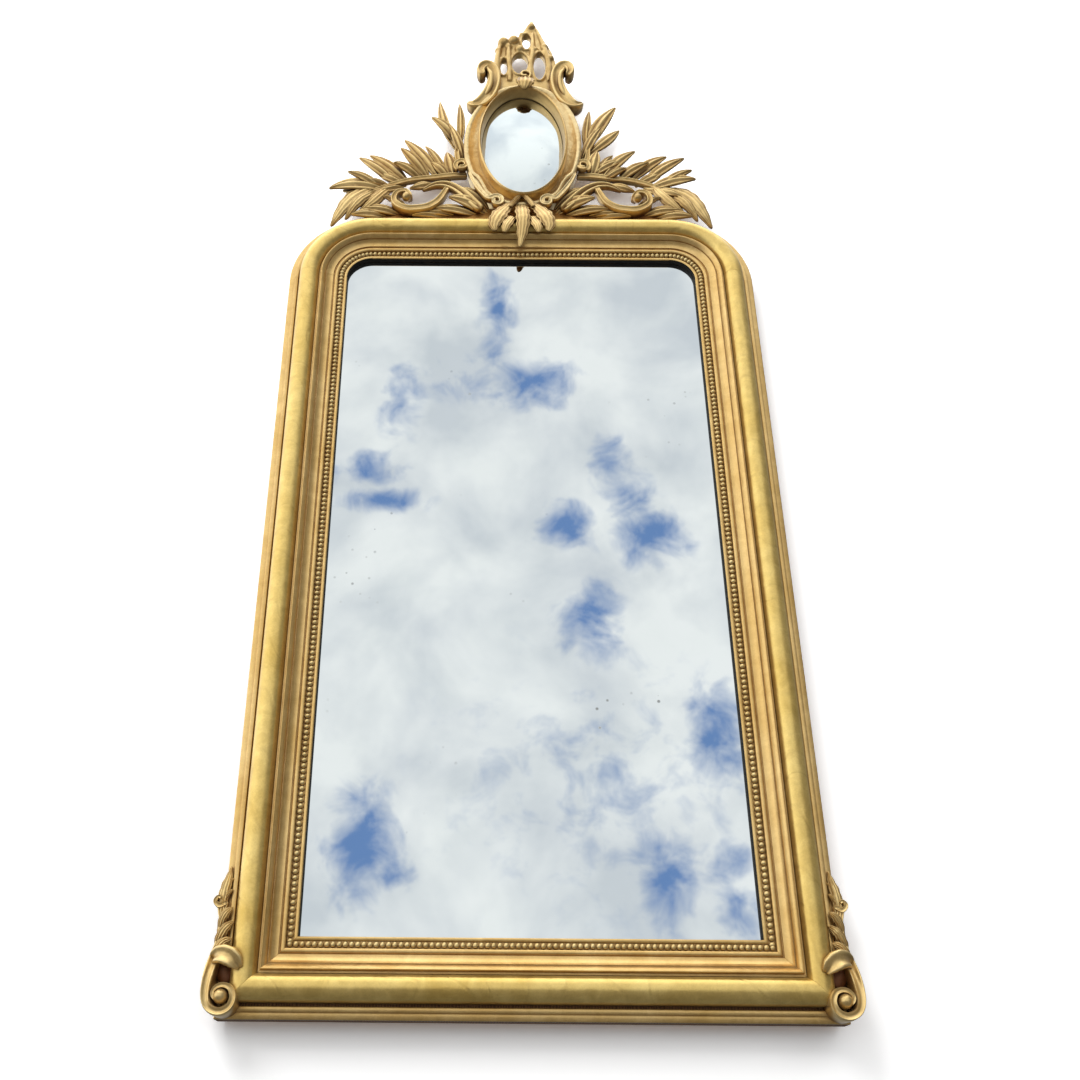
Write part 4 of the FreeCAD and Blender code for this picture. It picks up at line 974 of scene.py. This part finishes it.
# ---- crest ---------------------------------------------------------------------------
@dataclass
class Crest:
    """The carved crest over the top rail."""

    palette: Palette
    body_up: float = 173.0
    body_half_width: float = 109.0
    body_half_height: float = 155.0
    body_foot_half: float = 58.0
    body_foot_up: float = 10.0
    body_front: float = 45.0
    dish_floor: float = 36.0
    finial_back: float = 18.0
    finial_front: float = 31.0
    # the finial's openings: out, up, half width, half height
    openings: tuple[tuple[float, float, float, float], ...] = (
        (-38, 391, 7.0, 24.0), (-7, 400, 15.5, 30.0), (31, 393, 11.5, 39.0), (5, 462, 8.5, 22.0))

    def carve(self, name: str, rows: Rows, section: Section, side: int = 1,
              **how: object) -> Piece:
        """A member whose rows are (out, up, rise, width, depth) on the crest."""
        stations = [Station(*on_crest(out, up, side), rise, width, depth)
                    for out, up, rise, width, depth in rows]
        return Bench.member(name, stations, section, **how)

    def leaf(self, base: Point2, tip: Point2, width: float, bend: float, side: int,
             lift: float = 0.0) -> Piece:
        """One laurel leaf with its midrib, from base to tip, bowed sideways by bend.

        Args:
            base: (out, up) of its base.
            tip: (out, up) of its tip.
            width: Its widest.
            bend: How far it bows sideways.
            side: -1 for the left branch, 1 for the right.
            lift: How far it stands in front of its neighbours.

        Returns:
            The leaf.
        """
        x0, z0 = on_crest(*base, side)
        x1, z1 = on_crest(*tip, side)
        length = math.hypot(x1 - x0, z1 - z0)
        nx, nz = -(z1 - z0) / length, (x1 - x0) / length
        stations = []
        for t, share in ((0.0, 0.3), (0.12, 0.52), (0.3, 0.9), (0.48, 1.0), (0.66, 0.9),
                         (0.84, 0.56), (0.95, 0.24), (1.0, 0.06)):
            bow = 4.0 * t * (1.0 - t) * bend * side
            rise = 20.0 * (1 - t) ** 2 + 72.0 * t * (1 - t) + 29.0 * t * t + lift * t
            stations.append(Station(x0 + (x1 - x0) * t + nx * bow, z0 + (z1 - z0) * t + nz * bow,
                                    rise, 1.16 * width * share, 13.0 * (0.4 + 0.6 * share)))
        return Bench.member("leaf", stations, Section.LAUREL, steps=2)

    def branch(self, word: str, side: int, leaves: Rows) -> None:
        """One laurel branch: stem, twig, leaves and the two veined corner leaves."""
        stem = [(100, 108, 24, 10, 14), (124, 106, 26, 12, 14), (160, 101, 26, 11, 13),
                (204, 94, 26, 10, 13), (244, 80, 25, 10, 12), (282, 60, 24, 10, 12),
                (306, 34, 22, 7, 10)]
        twig = [(106, 112, 24, 11, 13), (120, 148, 27, 11, 13), (121, 184, 27, 8, 11)]
        pieces = [self.carve("stem", stem, Section.FLUTED, side),
                  self.carve("twig", twig, Section.FLUTED, side)]
        for i, (u0, up0, u1, up1, width, bend) in enumerate(leaves):
            pieces.append(self.leaf((u0, up0), (u1, up1), width, bend, side, 7.0 * (i % 3) - 5.0))
        bract = [(*polar(112, 122, 10, a), 34 + 0.02 * a, 10, 13) for a in range(-60, 301, 40)]
        pieces.append(self.carve("bract", bract, Section.FLUTED, side))
        corner = [(272, 76, 26), (292, 58, 31), (310, 36, 34), (326, 8, 33), (341, -18, 24)]
        inner = [(236, 83, 26), (252, 56, 33), (272, 30, 34), (296, 8, 28)]
        outer = [(262, 66, 28), (284, 44, 36), (300, 22, 37), (316, -6, 28)]
        for path, width in ((corner, 38.0), (inner, 27.0), (outer, 24.0)):
            shares = ((0.4, 12.0), (1.0, 15.0), (0.92, 15.0), (0.6, 12.0), (0.1, 8.0))
            rows = [(u, up, r, width * share, depth) for (u, up, r), (share, depth)
                    in zip(path, shares[:len(path) - 1] + shares[-1:])]
            pieces.append(self.carve("corner_leaf", rows, Section.VEINED, side, steps=4,
                                     notch=0.16))
        carving(word + "_laurel_branch", pieces, self.palette["carved"])

    def c_scroll(self, word: str, side: int) -> None:
        """C-scroll beside the finial, with its curled head."""
        path = [(113, 285), (100, 276), (86, 282), (73, 300), (65, 322), (63, 344), (67, 363),
                (76, 374), (85, 370), (89, 357), (84, 346)]
        rises = [30, 32, 34, 36, 38, 39, 40, 41, 42, 42, 42]
        widths = [5, 17, 27, 31, 29, 27, 26, 24, 21, 17, 12]
        drawn_in = 7.0 if side < 0 else 0.0
        rows = [(u - drawn_in, up, r, w, min(30.0, 14.0 + w))
                for (u, up), r, w in zip(path, rises, widths)]
        inner = [(88 - drawn_in, 292, 34, 6, 12), (76 - drawn_in, 306, 42, 10, 14),
                 (69 - drawn_in, 326, 47, 10, 14), (70 - drawn_in, 348, 50, 9, 13),
                 (78 - drawn_in, 362, 50, 6, 10)]
        carving(word + "_c_scroll",
                [self.carve("back", rows, Section.FLUTED, side, pointed=False),
                 self.carve("rib", inner, Section.ROUND, side)], self.palette["carved"])

    def s_scroll(self, word: str, side: int) -> None:
        """S-scroll lying on the base rail with its volute, and the leaf over it."""
        turns = [(190, 8), (90, 14), (30, 20), (-30, 24), (-90, 27)]
        path = [polar(208, 40, r, a) for a, r in turns]
        path += [(186, 13), (166, 18), (148, 34), (134, 64)]
        widths = [12, 9, 11, 13, 15, 15, 15, 14, 9]
        rows = [(u, up, 36.0, w, 20.0) for (u, up), w in zip(path, widths)]
        arch = [(72, 16, 34, 20, 16), (92, 38, 34, 26, 18), (112, 60, 34, 24, 18),
                (136, 75, 34, 20, 16), (160, 74, 34, 13, 14), (182, 60, 34, 4, 8)]
        pieces = [self.carve("band", rows, Section.FLUTED, side, pointed=False),
                  self.carve("arch", arch, Section.LEAF, side),
                  Bench.boss("eye", *on_crest(207, 39, side), 42.0, 8.0, 18.0)]
        for u0, up0, u1, up1, width, bend, lift in (
                (58, 16, 132, 40, 26, 5, 12), (76, 14, 160, 18, 20, 3, 6),
                (60, 30, 112, 66, 20, 4, 8), (118, 12, 176, 10, 15, 2, 2),
                (214, 14, 286, 18, 20, 3, 4), (200, 16, 250, 44, 16, 4, 9),
                (240, 10, 304, 2, 20, 2, 6), (130, 6, 196, 4, 16, 2, 3)):
            pieces.append(self.leaf((u0, up0), (u1, up1), width, bend, side, lift))
        carving(word + "_s_scroll", pieces, self.palette["carved"])

    def oval_ring(self, grow: float, rise: float, count: int = 96) -> list[Vector]:
        """Points round the oval, outside its sight edge by grow."""
        x, z = SIZE.oval
        return [at(x + (SIZE.oval_half_width + grow) * math.cos(math.tau * i / count),
                   z + (SIZE.oval_half_height + grow) * math.sin(math.tau * i / count), rise)
                for i in range(count)]

    def body_ring(self, grow: float, rise: float, count: int = 96) -> list[Vector]:
        """Points round the cartouche's outline, in line with those of the oval."""
        x, z = SIZE.oval
        ring = []
        for i in range(count):
            turn = math.tau * i / count
            c, s = math.cos(turn), math.sin(turn)
            width = self.body_half_width + grow
            height = self.body_half_height + grow
            out = width * abs(c) ** 0.9 * (1 if c >= 0 else -1)
            up = self.body_up + height * s
            if s < -0.55:
                foot = self.body_foot_half + grow * 0.5
                share = min(1.0, (-0.55 - s) / 0.45)
                wide = width * 0.8 + (foot - width * 0.8) * share ** 0.7
                out = min(abs(out), wide) * (1 if c >= 0 else -1) if share < 1.0 else out
                up = max(up, self.body_foot_up)
            px, pz = on_crest(out, up)
            ring.append(at(px, pz, rise))
        return ring

    def body(self) -> None:
        """The cartouche: rim, sunk field and hole, extruded ring by ring."""
        lap = SIZE.bezel_lap + 0.5
        back, front = SIZE.crest_back, self.body_front
        w = SIZE.bezel_width
        rings = [self.oval_ring(grow, rise) for grow, rise in (
            (lap, back), (lap, self.dish_floor), (w, self.dish_floor),
            (w + 6.0, self.dish_floor + 1.0))]
        rings += [self.body_ring(grow, rise) for grow, rise in (
            (-13.0, self.dish_floor + 4.0), (-10.5, front - 2.0), (-8.0, front),
            (-5.0, front + 0.6), (-2.0, front - 1.0), (-0.4, front - 4.0), (0.0, front - 10.0),
            (-3.0, back))]
        pieces = [Bench.rings("dish", rings, closed=True, angle=50.0)]
        for side in (-1, 1):
            curl = [(*polar(46, 24, r, a), front - 1.0 + 0.01 * a, w, 14.0)
                    for a, r, w in ((430, 3.0, 6), (350, 5.0, 8), (280, 7.5, 9), (210, 10.0, 10),
                                    (140, 11.5, 11), (80, 12.5, 11), (30, 15.0, 10))]
            curl += [(70, 44, front, 10, 12), (86, 70, front, 9, 10), (98, 100, front, 5, 6)]
            pieces.append(self.carve("curl", curl, Section.FLUTED, side))
        carving("cartouche_body", pieces, self.palette["field_gold"])

    def bezel(self) -> None:
        """The oval moulding that holds the glass, and the bevelled glass."""
        foot = SIZE.oval_back + 5.3
        w, top = SIZE.bezel_width, SIZE.bezel_rise
        section = [(SIZE.bezel_lap, foot), (SIZE.bezel_lap, self.dish_floor),
                   (w, self.dish_floor), (w, top - 6.0), (w - 0.6, top - 2.8),
                   (w - 2.0, top - 0.7), (w - 3.2, top), (w - 4.4, top - 0.9), (w - 5.2, top - 3.0),
                   (w - 5.6, top - 8.0), (5.0, foot + 12.0), (4.6, foot + 5.0), (4.4, foot)]
        rings = [self.oval_ring(g, r) for g, r in section]
        dress(Bench.rings("gilt_oval_bezel", rings, closed=True, angle=50.0),
              self.palette["gold"], ["oval_bezel"])
        lap, front = SIZE.bezel_lap, SIZE.oval_back + 5.0
        steps = [(lap, SIZE.oval_back), (lap, front - 1.6), (lap - 9.0, front - 0.02),
                 (lap - 9.6, front)]
        dress(Bench.rings("silvered_oval_glass", [self.oval_ring(g, r) for g, r in steps],
                          angle=3.0), self.palette["oval"], ["oval_glass"], "silvered_glass")

    def clasp(self) -> None:
        """Small leaf folded over the top of the bezel."""
        rows = [(3, 346, 44, 18, 12), (3, 332, 53, 34, 14), (3, 317, 61, 40, 14),
                (2, 305, 62, 30, 11), (1, 296, 58, 8, 6)]
        fold = [(*polar(3, 344, r, a), 50 + 0.01 * a, 6, 9)
                for a, r in ((-60, 11), (20, 11), (100, 10), (180, 8), (260, 5), (330, 3))]
        carving("bezel_clasp", [self.carve("leaf", rows, Section.VEINED, steps=4, notch=0.2),
                                self.carve("fold", fold, Section.ROUND)], self.palette["carved"])

    def pendant(self) -> None:
        """Acanthus pendant over the top rail's mouldings."""
        lobes = [
            [(0, 12, 49, 20, 9), (0, -10, 64, 30, 10), (2, -37, 69, 30, 10), (1, -64, 66, 24, 9),
             (-3, -94, 57, 5, 5)],
            [(14, 22, 46, 14, 8), (28, 0, 56, 24, 9), (40, -25, 65, 34, 10), (48, -48, 66, 26, 9),
             (45, -61, 63, 8, 5)],
            [(16, -28, 63, 18, 8), (27, -53, 69, 20, 9), (30, -68, 67, 8, 5)],
            [(2, 40, 47, 10, 10), (13, 20, 53, 11, 12), (21, 0, 58, 9, 10)],
        ]
        pieces = []
        for k, rows in enumerate(lobes):
            for side in ((1,) if k == 0 else (-1, 1)):
                pieces.append(self.carve("lobe", rows, Section.VEINED, side, steps=5, notch=0.24))
        carving("acanthus_pendant", pieces, self.palette["carved"])

    def finial(self) -> None:
        """Pierced shell finial: a plate cut by four openings, its ribs and knobs, blended."""
        outline = [(-60, 310), (-59, 398), (-56, 428), (-52, 456), (-45, 470), (-34, 473),
                   (-27, 469), (-21, 477), (-12, 478), (-5, 488), (4, 507), (12, 524), (18, 523),
                   (26, 500), (36, 477), (55, 434), (62, 404), (63, 310)]
        corners = [on_crest(u, up) for u, up in outline]
        piece = Bench.start_ring("finial", [at(x, z, self.finial_back) for x, z in corners])
        bpy.ops.mesh.edge_face_add()
        bpy.ops.mesh.extrude_region_move(TRANSFORM_OT_translate={
            "value": (0, (self.finial_back - self.finial_front) * MM, 0)})
        Bench.close(piece)
        for u, up, a, b in self.openings:
            x, z = on_crest(u, up)
            Bench.clear()
            bpy.ops.mesh.primitive_cylinder_add(vertices=40, radius=1.0, depth=0.1,
                                                location=at(x, z, 25.0),
                                                rotation=(math.pi / 2.0, 0, 0))
            cutter = bpy.context.object
            cutter.scale = (a * MM, b * MM, 1.0)
            bpy.ops.object.transform_apply(location=True, rotation=True, scale=True)
            Bench.apply(piece, "BOOLEAN", operation="DIFFERENCE", object=cutter, solver="EXACT")
            bpy.data.objects.remove(cutter)
        front = self.finial_front
        ribs = [[(-50, 350), (-51, 385), (-50, 425), (-43, 462)],
                [(-26, 350), (-27, 382), (-30, 428), (-30, 466)],
                [(13, 360), (14, 395), (17, 432), (16, 496)],
                [(48, 350), (50, 385), (42, 435), (22, 506)]]
        pieces = [piece]
        for rib in ribs:
            rows = [(u, up, front, w, d) for (u, up), (w, d)
                    in zip(rib, [(9, 10), (10, 13), (11, 15), (5, 8)])]
            pieces.append(self.carve("rib", rows, Section.ROUND, steps=5))
        for u, up, a, b in self.openings:
            rows = [(*polar(u, up, a + 2.0, t, b + 2.0), front, 5, 8) for t in range(0, 361, 30)]
            pieces.append(self.carve("rim", rows, Section.ROUND, pointed=False))
        for u, up, radius in ((-40, 459, 11.5), (-20, 466, 10.5), (-9, 440, 9.0), (-50, 436, 7.0),
                              (-30, 447, 7.0), (14, 506, 8.0), (40, 446, 8.0), (-4, 482, 6.0),
                              (22, 440, 6.0), (52, 416, 7.0)):
            pieces.append(Bench.boss("knob", *on_crest(u, up), front, radius, 2.0 * radius))
        whole = Bench.join("carved_pierced_finial", pieces)
        Bench.apply(whole, "REMESH", mode="VOXEL", voxel_size=1.5 * MM)
        Bench.apply(whole, "SMOOTH", factor=0.5, iterations=4)
        dress(Bench.smooth(whole, 80.0), self.palette["carved"], ["pierced_finial"])

    def build(self) -> None:
        """Model and dress the whole crest."""
        left = [(122, 178, 158, 302, 19, -7), (117, 182, 121, 288, 16, 3),
                (118, 188, 172, 244, 22, 5), (136, 104, 181, 184, 16, 2),
                (150, 101, 220, 192, 24, 3), (168, 99, 225, 164, 23, 2),
                (206, 92, 283, 159, 22, 3), (226, 87, 301, 146, 21, 2), (244, 76, 349, 62, 27, 9),
                (124, 103, 140, 168, 24, 0), (236, 80, 300, 88, 14, 3),
                (180, 96, 236, 128, 20, 3), (210, 88, 266, 116, 20, -3),
                (132, 98, 168, 134, 20, 3), (252, 74, 318, 104, 18, 3), (262, 66, 326, 70, 20, 2),
                (216, 84, 262, 62, 18, -3), (108, 146, 138, 224, 17, 3),
                (236, 74, 288, 44, 18, 3), (160, 92, 204, 70, 18, -4)]
        right = [(118, 172, 126, 278, 17, 2), (119, 180, 176, 281, 27, 4),
                 (124, 170, 180, 212, 22, -4), (136, 104, 168, 162, 16, 3),
                 (144, 103, 209, 166, 22, 4), (148, 101, 190, 116, 15, 0),
                 (194, 94, 268, 160, 24, 5), (218, 90, 299, 149, 22, 3),
                 (230, 80, 316, 90, 23, 4), (238, 72, 296, 68, 18, 0), (124, 104, 138, 166, 24, 0),
                 (172, 97, 232, 130, 20, 3), (206, 90, 258, 118, 20, -3),
                 (128, 112, 186, 140, 18, 4), (246, 78, 310, 112, 18, 3),
                 (222, 84, 270, 60, 18, -3), (108, 146, 150, 232, 18, 3),
                 (236, 74, 288, 44, 18, 3), (160, 92, 206, 72, 18, -4)]
        self.body()
        self.bezel()
        self.clasp()
        self.finial()
        self.pendant()
        for (word, side), leaves in zip(SIDES, (left, right)):
            self.c_scroll(word, side)
            self.s_scroll(word, side)
            self.branch(word, side, leaves)


# ---- ears ----------------------------------------------------------------------------
@dataclass
class Ears:
    """The two carved ears at the foot of the stiles."""

    palette: Palette
    volute: Point2 = (-12.0, 24.0)

    def member(self, name: str, rows: Rows, section: Section, side: int,
               **how: object) -> Piece:
        """A member whose rows are (out from the edge, z, rise, width, depth)."""
        stations = [Station(side * (SIZE.half + out), z, rise, width, depth)
                    for out, z, rise, width, depth in rows]
        return Bench.member(name, stations, section, **how)

    def ear(self, word: str, side: int) -> None:
        """One ear: a deep volute, its stem, curl, crown and frill, and the leaf over it."""
        turns = [(-430, 5.5), (-360, 8.0), (-315, 10.0), (-270, 12.0), (-225, 14.5),
                 (-180, 16.5), (-135, 18.0), (-90, 18.5), (-45, 18.8), (0, 19.0)]
        x, z = self.volute
        path = [polar(x, z, r, a) for a, r in turns]
        path += [(7, 42), (5, 62), (-1, 90), (-1, 118), (3, 134), (6, 143)]
        widths = [7, 7, 7.5, 8.5, 9.5, 10.5, 11, 11.5, 12, 13, 15, 17, 15, 12, 11, 8]
        rises = [52, 50, 48, 46, 44, 43, 42, 41, 41, 41, 40, 36, 30, 27, 27, 28]
        depths = [26, 30, 34, 38, 42, 44, 46, 48, 48, 47, 42, 32, 26, 24, 22, 18]
        rows = [(*spot, r, w, d) for spot, r, w, d in zip(path, rises, widths, depths)]
        curl = [(*polar(5, 145, r, a), 28 + 0.006 * a, w, 20.0)
                for a, r, w in ((520, 2.5, 5), (430, 4.5, 6), (350, 6.5, 7), (270, 7.5, 8),
                                (200, 8.0, 8))]
        curl += [(0, 134, 28, 10, 20), (-2, 122, 28, 10, 20)]
        pieces = [self.member("band", rows, Section.FLUTED, side, pointed=False),
                  self.member("curl", curl, Section.FLUTED, side),
                  Bench.boss("eye", side * (SIZE.half + x), z, 56.0, 9.5, 25.0)]
        leaves = (
            [(2, 122, 30, 8, 9), (2, 142, 34, 16, 12), (0, 160, 35, 17, 12), (-3, 176, 33, 11, 9),
             (-5, 190, 31, 1.5, 5)],
            [(4, 82, 33, 7, 8), (0, 96, 41, 15, 11), (-6, 107, 44, 15, 11), (-13, 114, 43, 9, 8),
             (-18, 116, 42, 1.5, 4)],
            [(5, 68, 37, 7, 8), (-1, 82, 48, 15, 11), (-9, 91, 50, 13, 11), (-18, 94, 48, 2, 5)],
            [(3, 104, 33, 7, 8), (-1, 119, 40, 13, 10), (-7, 129, 42, 12, 10),
             (-14, 135, 40, 1.5, 4)],
            [(3, 142, 30, 5, 6), (-3, 152, 36, 10, 9), (-10, 159, 36, 1.5, 4)],
            [(2, 158, 30, 5, 6), (-4, 168, 34, 8, 7), (-10, 174, 33, 1.5, 4)])
        pieces += [self.member("frill", leaf, Section.VEINED, side, steps=4, notch=0.2)
                   for leaf in leaves]
        carving(word + "_ear_scroll", pieces, self.palette["ear_gold"])
        lobe = [(5, 70, 38, 10, 12), (-2, 73, 50, 19, 18), (-11, 73, 61, 24, 21),
                (-20, 70, 65, 26, 20), (-28, 64, 64, 21, 17), (-33, 57, 59, 8, 9)]
        leaf = self.member("lobe", lobe, Section.FLUTED, side, steps=4, notch=0.07)
        # The hollow piece is painted shadow: a dark rounded piece under the leaf where its shade
        # falls
        hollow = self.member("hollow", [(-4, 72, 34, 14, 8), (-9, 60, 36, 24, 9),
                                        (-12, 48, 36, 22, 9), (-13, 40, 34, 10, 8)],
                             Section.ROUND, side)
        leaf.data.materials.append(self.palette["ear_gold"])
        hollow.data.materials.append(self.palette["bole"])
        carving(word + "_ear_leaf", [leaf, hollow], self.palette["ear_gold"])

    def build(self) -> None:
        """Model and dress both ears."""
        for word, side in SIDES:
            self.ear(word, side)


# ---- carried-over pieces -------------------------------------------------------------
@dataclass
class Carcass:
    """CAD nodes whose shape is right: they get their finishes."""

    palette: Palette

    def build(self) -> None:
        """Assign a material to each node."""
        looks = {
            "pine": ("left_stile", "right_stile", "top_rail", "bottom_rail", "left_corner_block",
                     "right_corner_block", "glazing_blocks", "left_crest_batten",
                     "right_crest_batten"),
            "boards": ("back_plank_1", "back_plank_2", "back_plank_3", "oval_backing_board"),
            "iron": ("back_nails", "crest_nails", "hanger_screws", "left_hanger_strap",
                     "right_hanger_strap", "left_hanging_ring", "right_hanging_ring"),
            "plate": ("mirror_plate",),
            "rail": ("crest_base_rail",),
        }
        for key, names in looks.items():
            finish = self.palette[key]
            for name in names:
                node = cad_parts[name]
                for slot in node.material_slots:
                    slot.material = finish
                if not node.material_slots:
                    node.data.materials.append(finish)
                LOG.info("%s: %s", name, finish.name)


# ---- studio --------------------------------------------------------------------------
@dataclass
class Studio:
    """Pale wall and floor, soft light and the photograph's camera."""

    wall_gap: float = 10.0
    floor_z: float = -950.0
    floor_grey: float = 0.16
    backdrop_size: Point2 = (8.0, 6.0)
    lamp_aim: Point3 = (0.0, 0.0, 0.85)
    # lamps: name, place, size, watts
    lamps: tuple[tuple[str, Point3, float, float], ...] = (
        ("key_lamp", (-1.3, -2.2, 2.8), 1.8, 70.0), ("fill_lamp", (1.6, -2.4, 1.2), 1.8, 10.0))
    camera_place: Point3 = (-72.8, -1558.2, -153.4)
    pitch: float = 27.218
    roll: float = -0.503
    yaw: float = 0.24
    focal_px: float = 1150.0
    image_px: float = 1080.0
    axis_px: Point2 = (472.59, 567.32)
    sky_strength: float = 1.38
    gap_edge: float = 0.27       # where a gap ends, against its width and height
    # blue gaps in the clouds: across, up (as slopes), wide, tall, depth of blue
    gaps: tuple[tuple[float, float, float, float, float], ...] = (
        (0.021, 0.834, 0.008, 0.024, 0.80), (0.016, 0.785, 0.007, 0.012, 0.60),
        (-0.010, 0.740, 0.019, 0.011, 0.60), (0.058, 0.734, 0.020, 0.013, 1.00),
        (-0.082, 0.713, 0.010, 0.020, 0.70), (-0.112, 0.626, 0.017, 0.009, 0.80),
        (-0.096, 0.590, 0.019, 0.006, 0.90), (0.135, 0.635, 0.009, 0.014, 0.80),
        (0.087, 0.565, 0.015, 0.010, 1.00), (0.151, 0.592, 0.012, 0.014, 0.80),
        (0.166, 0.548, 0.017, 0.013, 1.00), (0.110, 0.456, 0.013, 0.018, 0.85),
        (0.219, 0.345, 0.012, 0.021, 1.00), (-0.099, 0.243, 0.013, 0.022, 1.00),
        (-0.073, 0.216, 0.008, 0.006, 1.00), (0.163, 0.239, 0.012, 0.009, 0.80),
        (0.166, 0.207, 0.009, 0.017, 1.00), (0.224, 0.230, 0.015, 0.008, 0.70),
        (0.229, 0.185, 0.011, 0.011, 0.70), (0.118, 0.301, 0.060, 0.050, 0.35))

    def camera(self) -> None:
        """The camera at the photograph's viewing angle."""
        lens = bpy.data.cameras.new("studio_camera")
        lens.sensor_width = 36.0
        lens.lens = 36.0 * self.focal_px / self.image_px
        lens.shift_x = (self.image_px / 2.0 - self.axis_px[0]) / self.image_px
        lens.shift_y = (self.axis_px[1] - self.image_px / 2.0) / self.image_px
        lens.clip_end = 50.0
        camera = bpy.data.objects.new("studio_camera", lens)
        turn = (Matrix.Rotation(math.radians(self.yaw), 3, "Z")
                @ Matrix.Rotation(math.radians(self.pitch), 3, "X")
                @ Matrix.Rotation(math.radians(self.roll), 3, "Y"))
        axes = Matrix((turn.col[0], turn.col[2], -turn.col[1])).transposed()
        camera.matrix_world = (Matrix.Translation(Vector(self.camera_place) * MM)
                               @ axes.to_4x4())
        bpy.context.collection.objects.link(camera)
        bpy.context.scene.camera = camera

    def white(self, name: str, plain_kind: str, share: float) -> Material:
        """White to the camera with soft shadows, and a given shader to other rays."""
        material = bpy.data.materials.new(name)
        material.use_nodes = True
        desk = NodeDesk(material.node_tree)
        desk.tree.nodes.clear()
        plain, white, extra = (
            desk.add(kind, {"Color": (grey, grey, grey, 1.0)}).outputs[0]
            for kind, grey in ((plain_kind, share), ("BsdfDiffuse", 1.0), ("BsdfDiffuse", 0.4)))
        seen = desk.add("AddShader", {0: white, 1: extra}).outputs[0]
        lit = desk.shade(desk.add("LightPath").outputs["Is Camera Ray"], plain, seen)
        last = desk.shade(desk.add("NewGeometry").outputs["Backfacing"], lit,
                          desk.add("BsdfTransparent").outputs[0])
        desk.feed(desk.add("OutputMaterial"), {"Surface": last})
        return material

    def backdrop(self) -> None:
        """A white wall close behind the frame, open to the light, and a floor below it."""
        y = (SIZE.carcass / 2.0 + self.wall_gap) * MM
        floor = self.floor_z * MM
        for name, place, turn, kind, share in (
                ("studio_wall", (0, y, floor + 3.0), (math.pi / 2.0, 0, 0), "BsdfTransparent",
                 1.0),
                ("studio_floor", (0, y - 3.0, floor), (0, 0, 0), "BsdfDiffuse", self.floor_grey)):
            Bench.clear()
            bpy.ops.mesh.primitive_plane_add(size=1.0, location=place, rotation=turn)
            plane = bpy.context.object
            plane.name = plane.data.name = name
            plane.scale = (*self.backdrop_size, 1.0)
            bpy.ops.object.transform_apply(location=True, rotation=True, scale=True)
            plane.data.materials.append(self.white(name, kind, share))

    def lamp(self, name: str, place: Point3, size: float, watts: float) -> None:
        """A soft square lamp aimed at the middle of the mirror."""
        light = bpy.data.lights.new(name, "AREA")
        light.size = size
        light.energy = watts
        lamp = bpy.data.objects.new(name, light)
        lamp.location = place
        aim = Vector(self.lamp_aim) - lamp.location
        lamp.rotation_euler = aim.to_track_quat("-Z", "Y").to_euler()
        lamp.visible_glossy = False
        bpy.context.collection.objects.link(lamp)

    def sky(self) -> None:
        """White to the camera, plain light to the piece, and a cloudy sky to its glass."""
        world = bpy.data.worlds.new("studio_sky")
        bpy.context.scene.world = world
        world.use_nodes = True
        desk = NodeDesk(world.node_tree)
        desk.tree.nodes.clear()
        ray = desk.add("SeparateXYZ", {0: desk.add("TexCoord").outputs["Generated"]}).outputs
        depth = desk.math("MAXIMUM", desk.times(ray["Y"], -1.0), 0.05)
        spot = desk.add("CombineXYZ", {i: desk.math("DIVIDE", ray[axis], depth)
                                       for i, axis in enumerate("XZ")}).outputs[0]
        ragged = desk.noise(spot, 26.0, 6.0, 0.66, 0.5)
        billow = desk.noise(spot, 7.5, 5.0, 0.55, 0.3)
        cloud = desk.mix(desk.remap(billow, 0.36, 0.6), linear(206, 213, 220),
                         linear(240, 244, 245))
        openings = []
        for across, up, wide, tall, blueness in self.gaps:
            away = desk.vector("ADD", spot, (-across, -up, 0.0))[0]
            away = desk.vector("MULTIPLY", away, (self.gap_edge / wide, self.gap_edge / tall, 0.0))
            far = desk.vector("LENGTH", away[0])["Value"]
            openings.append(desk.remap(far, 1.0, 0.1, 0.0, blueness))
        opened = desk.math("MAXIMUM", *openings)
        torn = desk.math("ADD", opened, desk.remap(ragged, 0.3, 0.7, -0.45, 0.45))
        blue = desk.times(desk.remap(torn, 0.22, 1.0), desk.remap(opened, 0.0, 0.3))
        colour = desk.mix(blue, cloud, linear(104, 138, 190))
        sunk = desk.remap(ray["Z"], -0.4, 0.03, 0.2, 1.0)
        sides = desk.math("ADD", desk.remap(ray["X"], -0.26, -0.8, 0.0, 0.5),
                          desk.remap(ray["X"], 0.24, 0.7, 0.0, -0.8),
                          desk.remap(ray["Z"], 0.7, 0.95, 0.0, 1.3), 1.0)
        sky, plain, white = (
            desk.add("Background", {"Color": tint, "Strength": strength}).outputs[0]
            for tint, strength in ((colour, desk.times(sunk, sides, self.sky_strength)),
                                   (WHITE, desk.remap(ray["Z"], -0.12, 0.08, 0.03, 1.0)),
                                   (WHITE, 1.0)))
        path = desk.add("LightPath").outputs
        unseen = desk.shade(path["Is Glossy Ray"], plain, sky)
        desk.feed(desk.add("OutputWorld"),
                  {"Surface": desk.shade(path["Is Camera Ray"], unseen, white)})

    def build(self) -> None:
        """Set up the camera, the backdrop, the lamps and the sky."""
        self.camera()
        self.backdrop()
        for lamp in self.lamps:
            self.lamp(*lamp)
        self.sky()
        bpy.context.scene.view_settings.view_transform = "Standard"


def main() -> None:
    """Build every piece in order."""
    logging.basicConfig(level=logging.INFO, format="%(message)s")
    palette = make_palette()
    for part in (Carcass(palette), Mouldings(palette), Crest(palette), Ears(palette), Studio()):
        LOG.info("-- %s", type(part).__name__)
        part.build()
    bpy.context.view_layer.update()


if __name__ == "__main__":
    main()
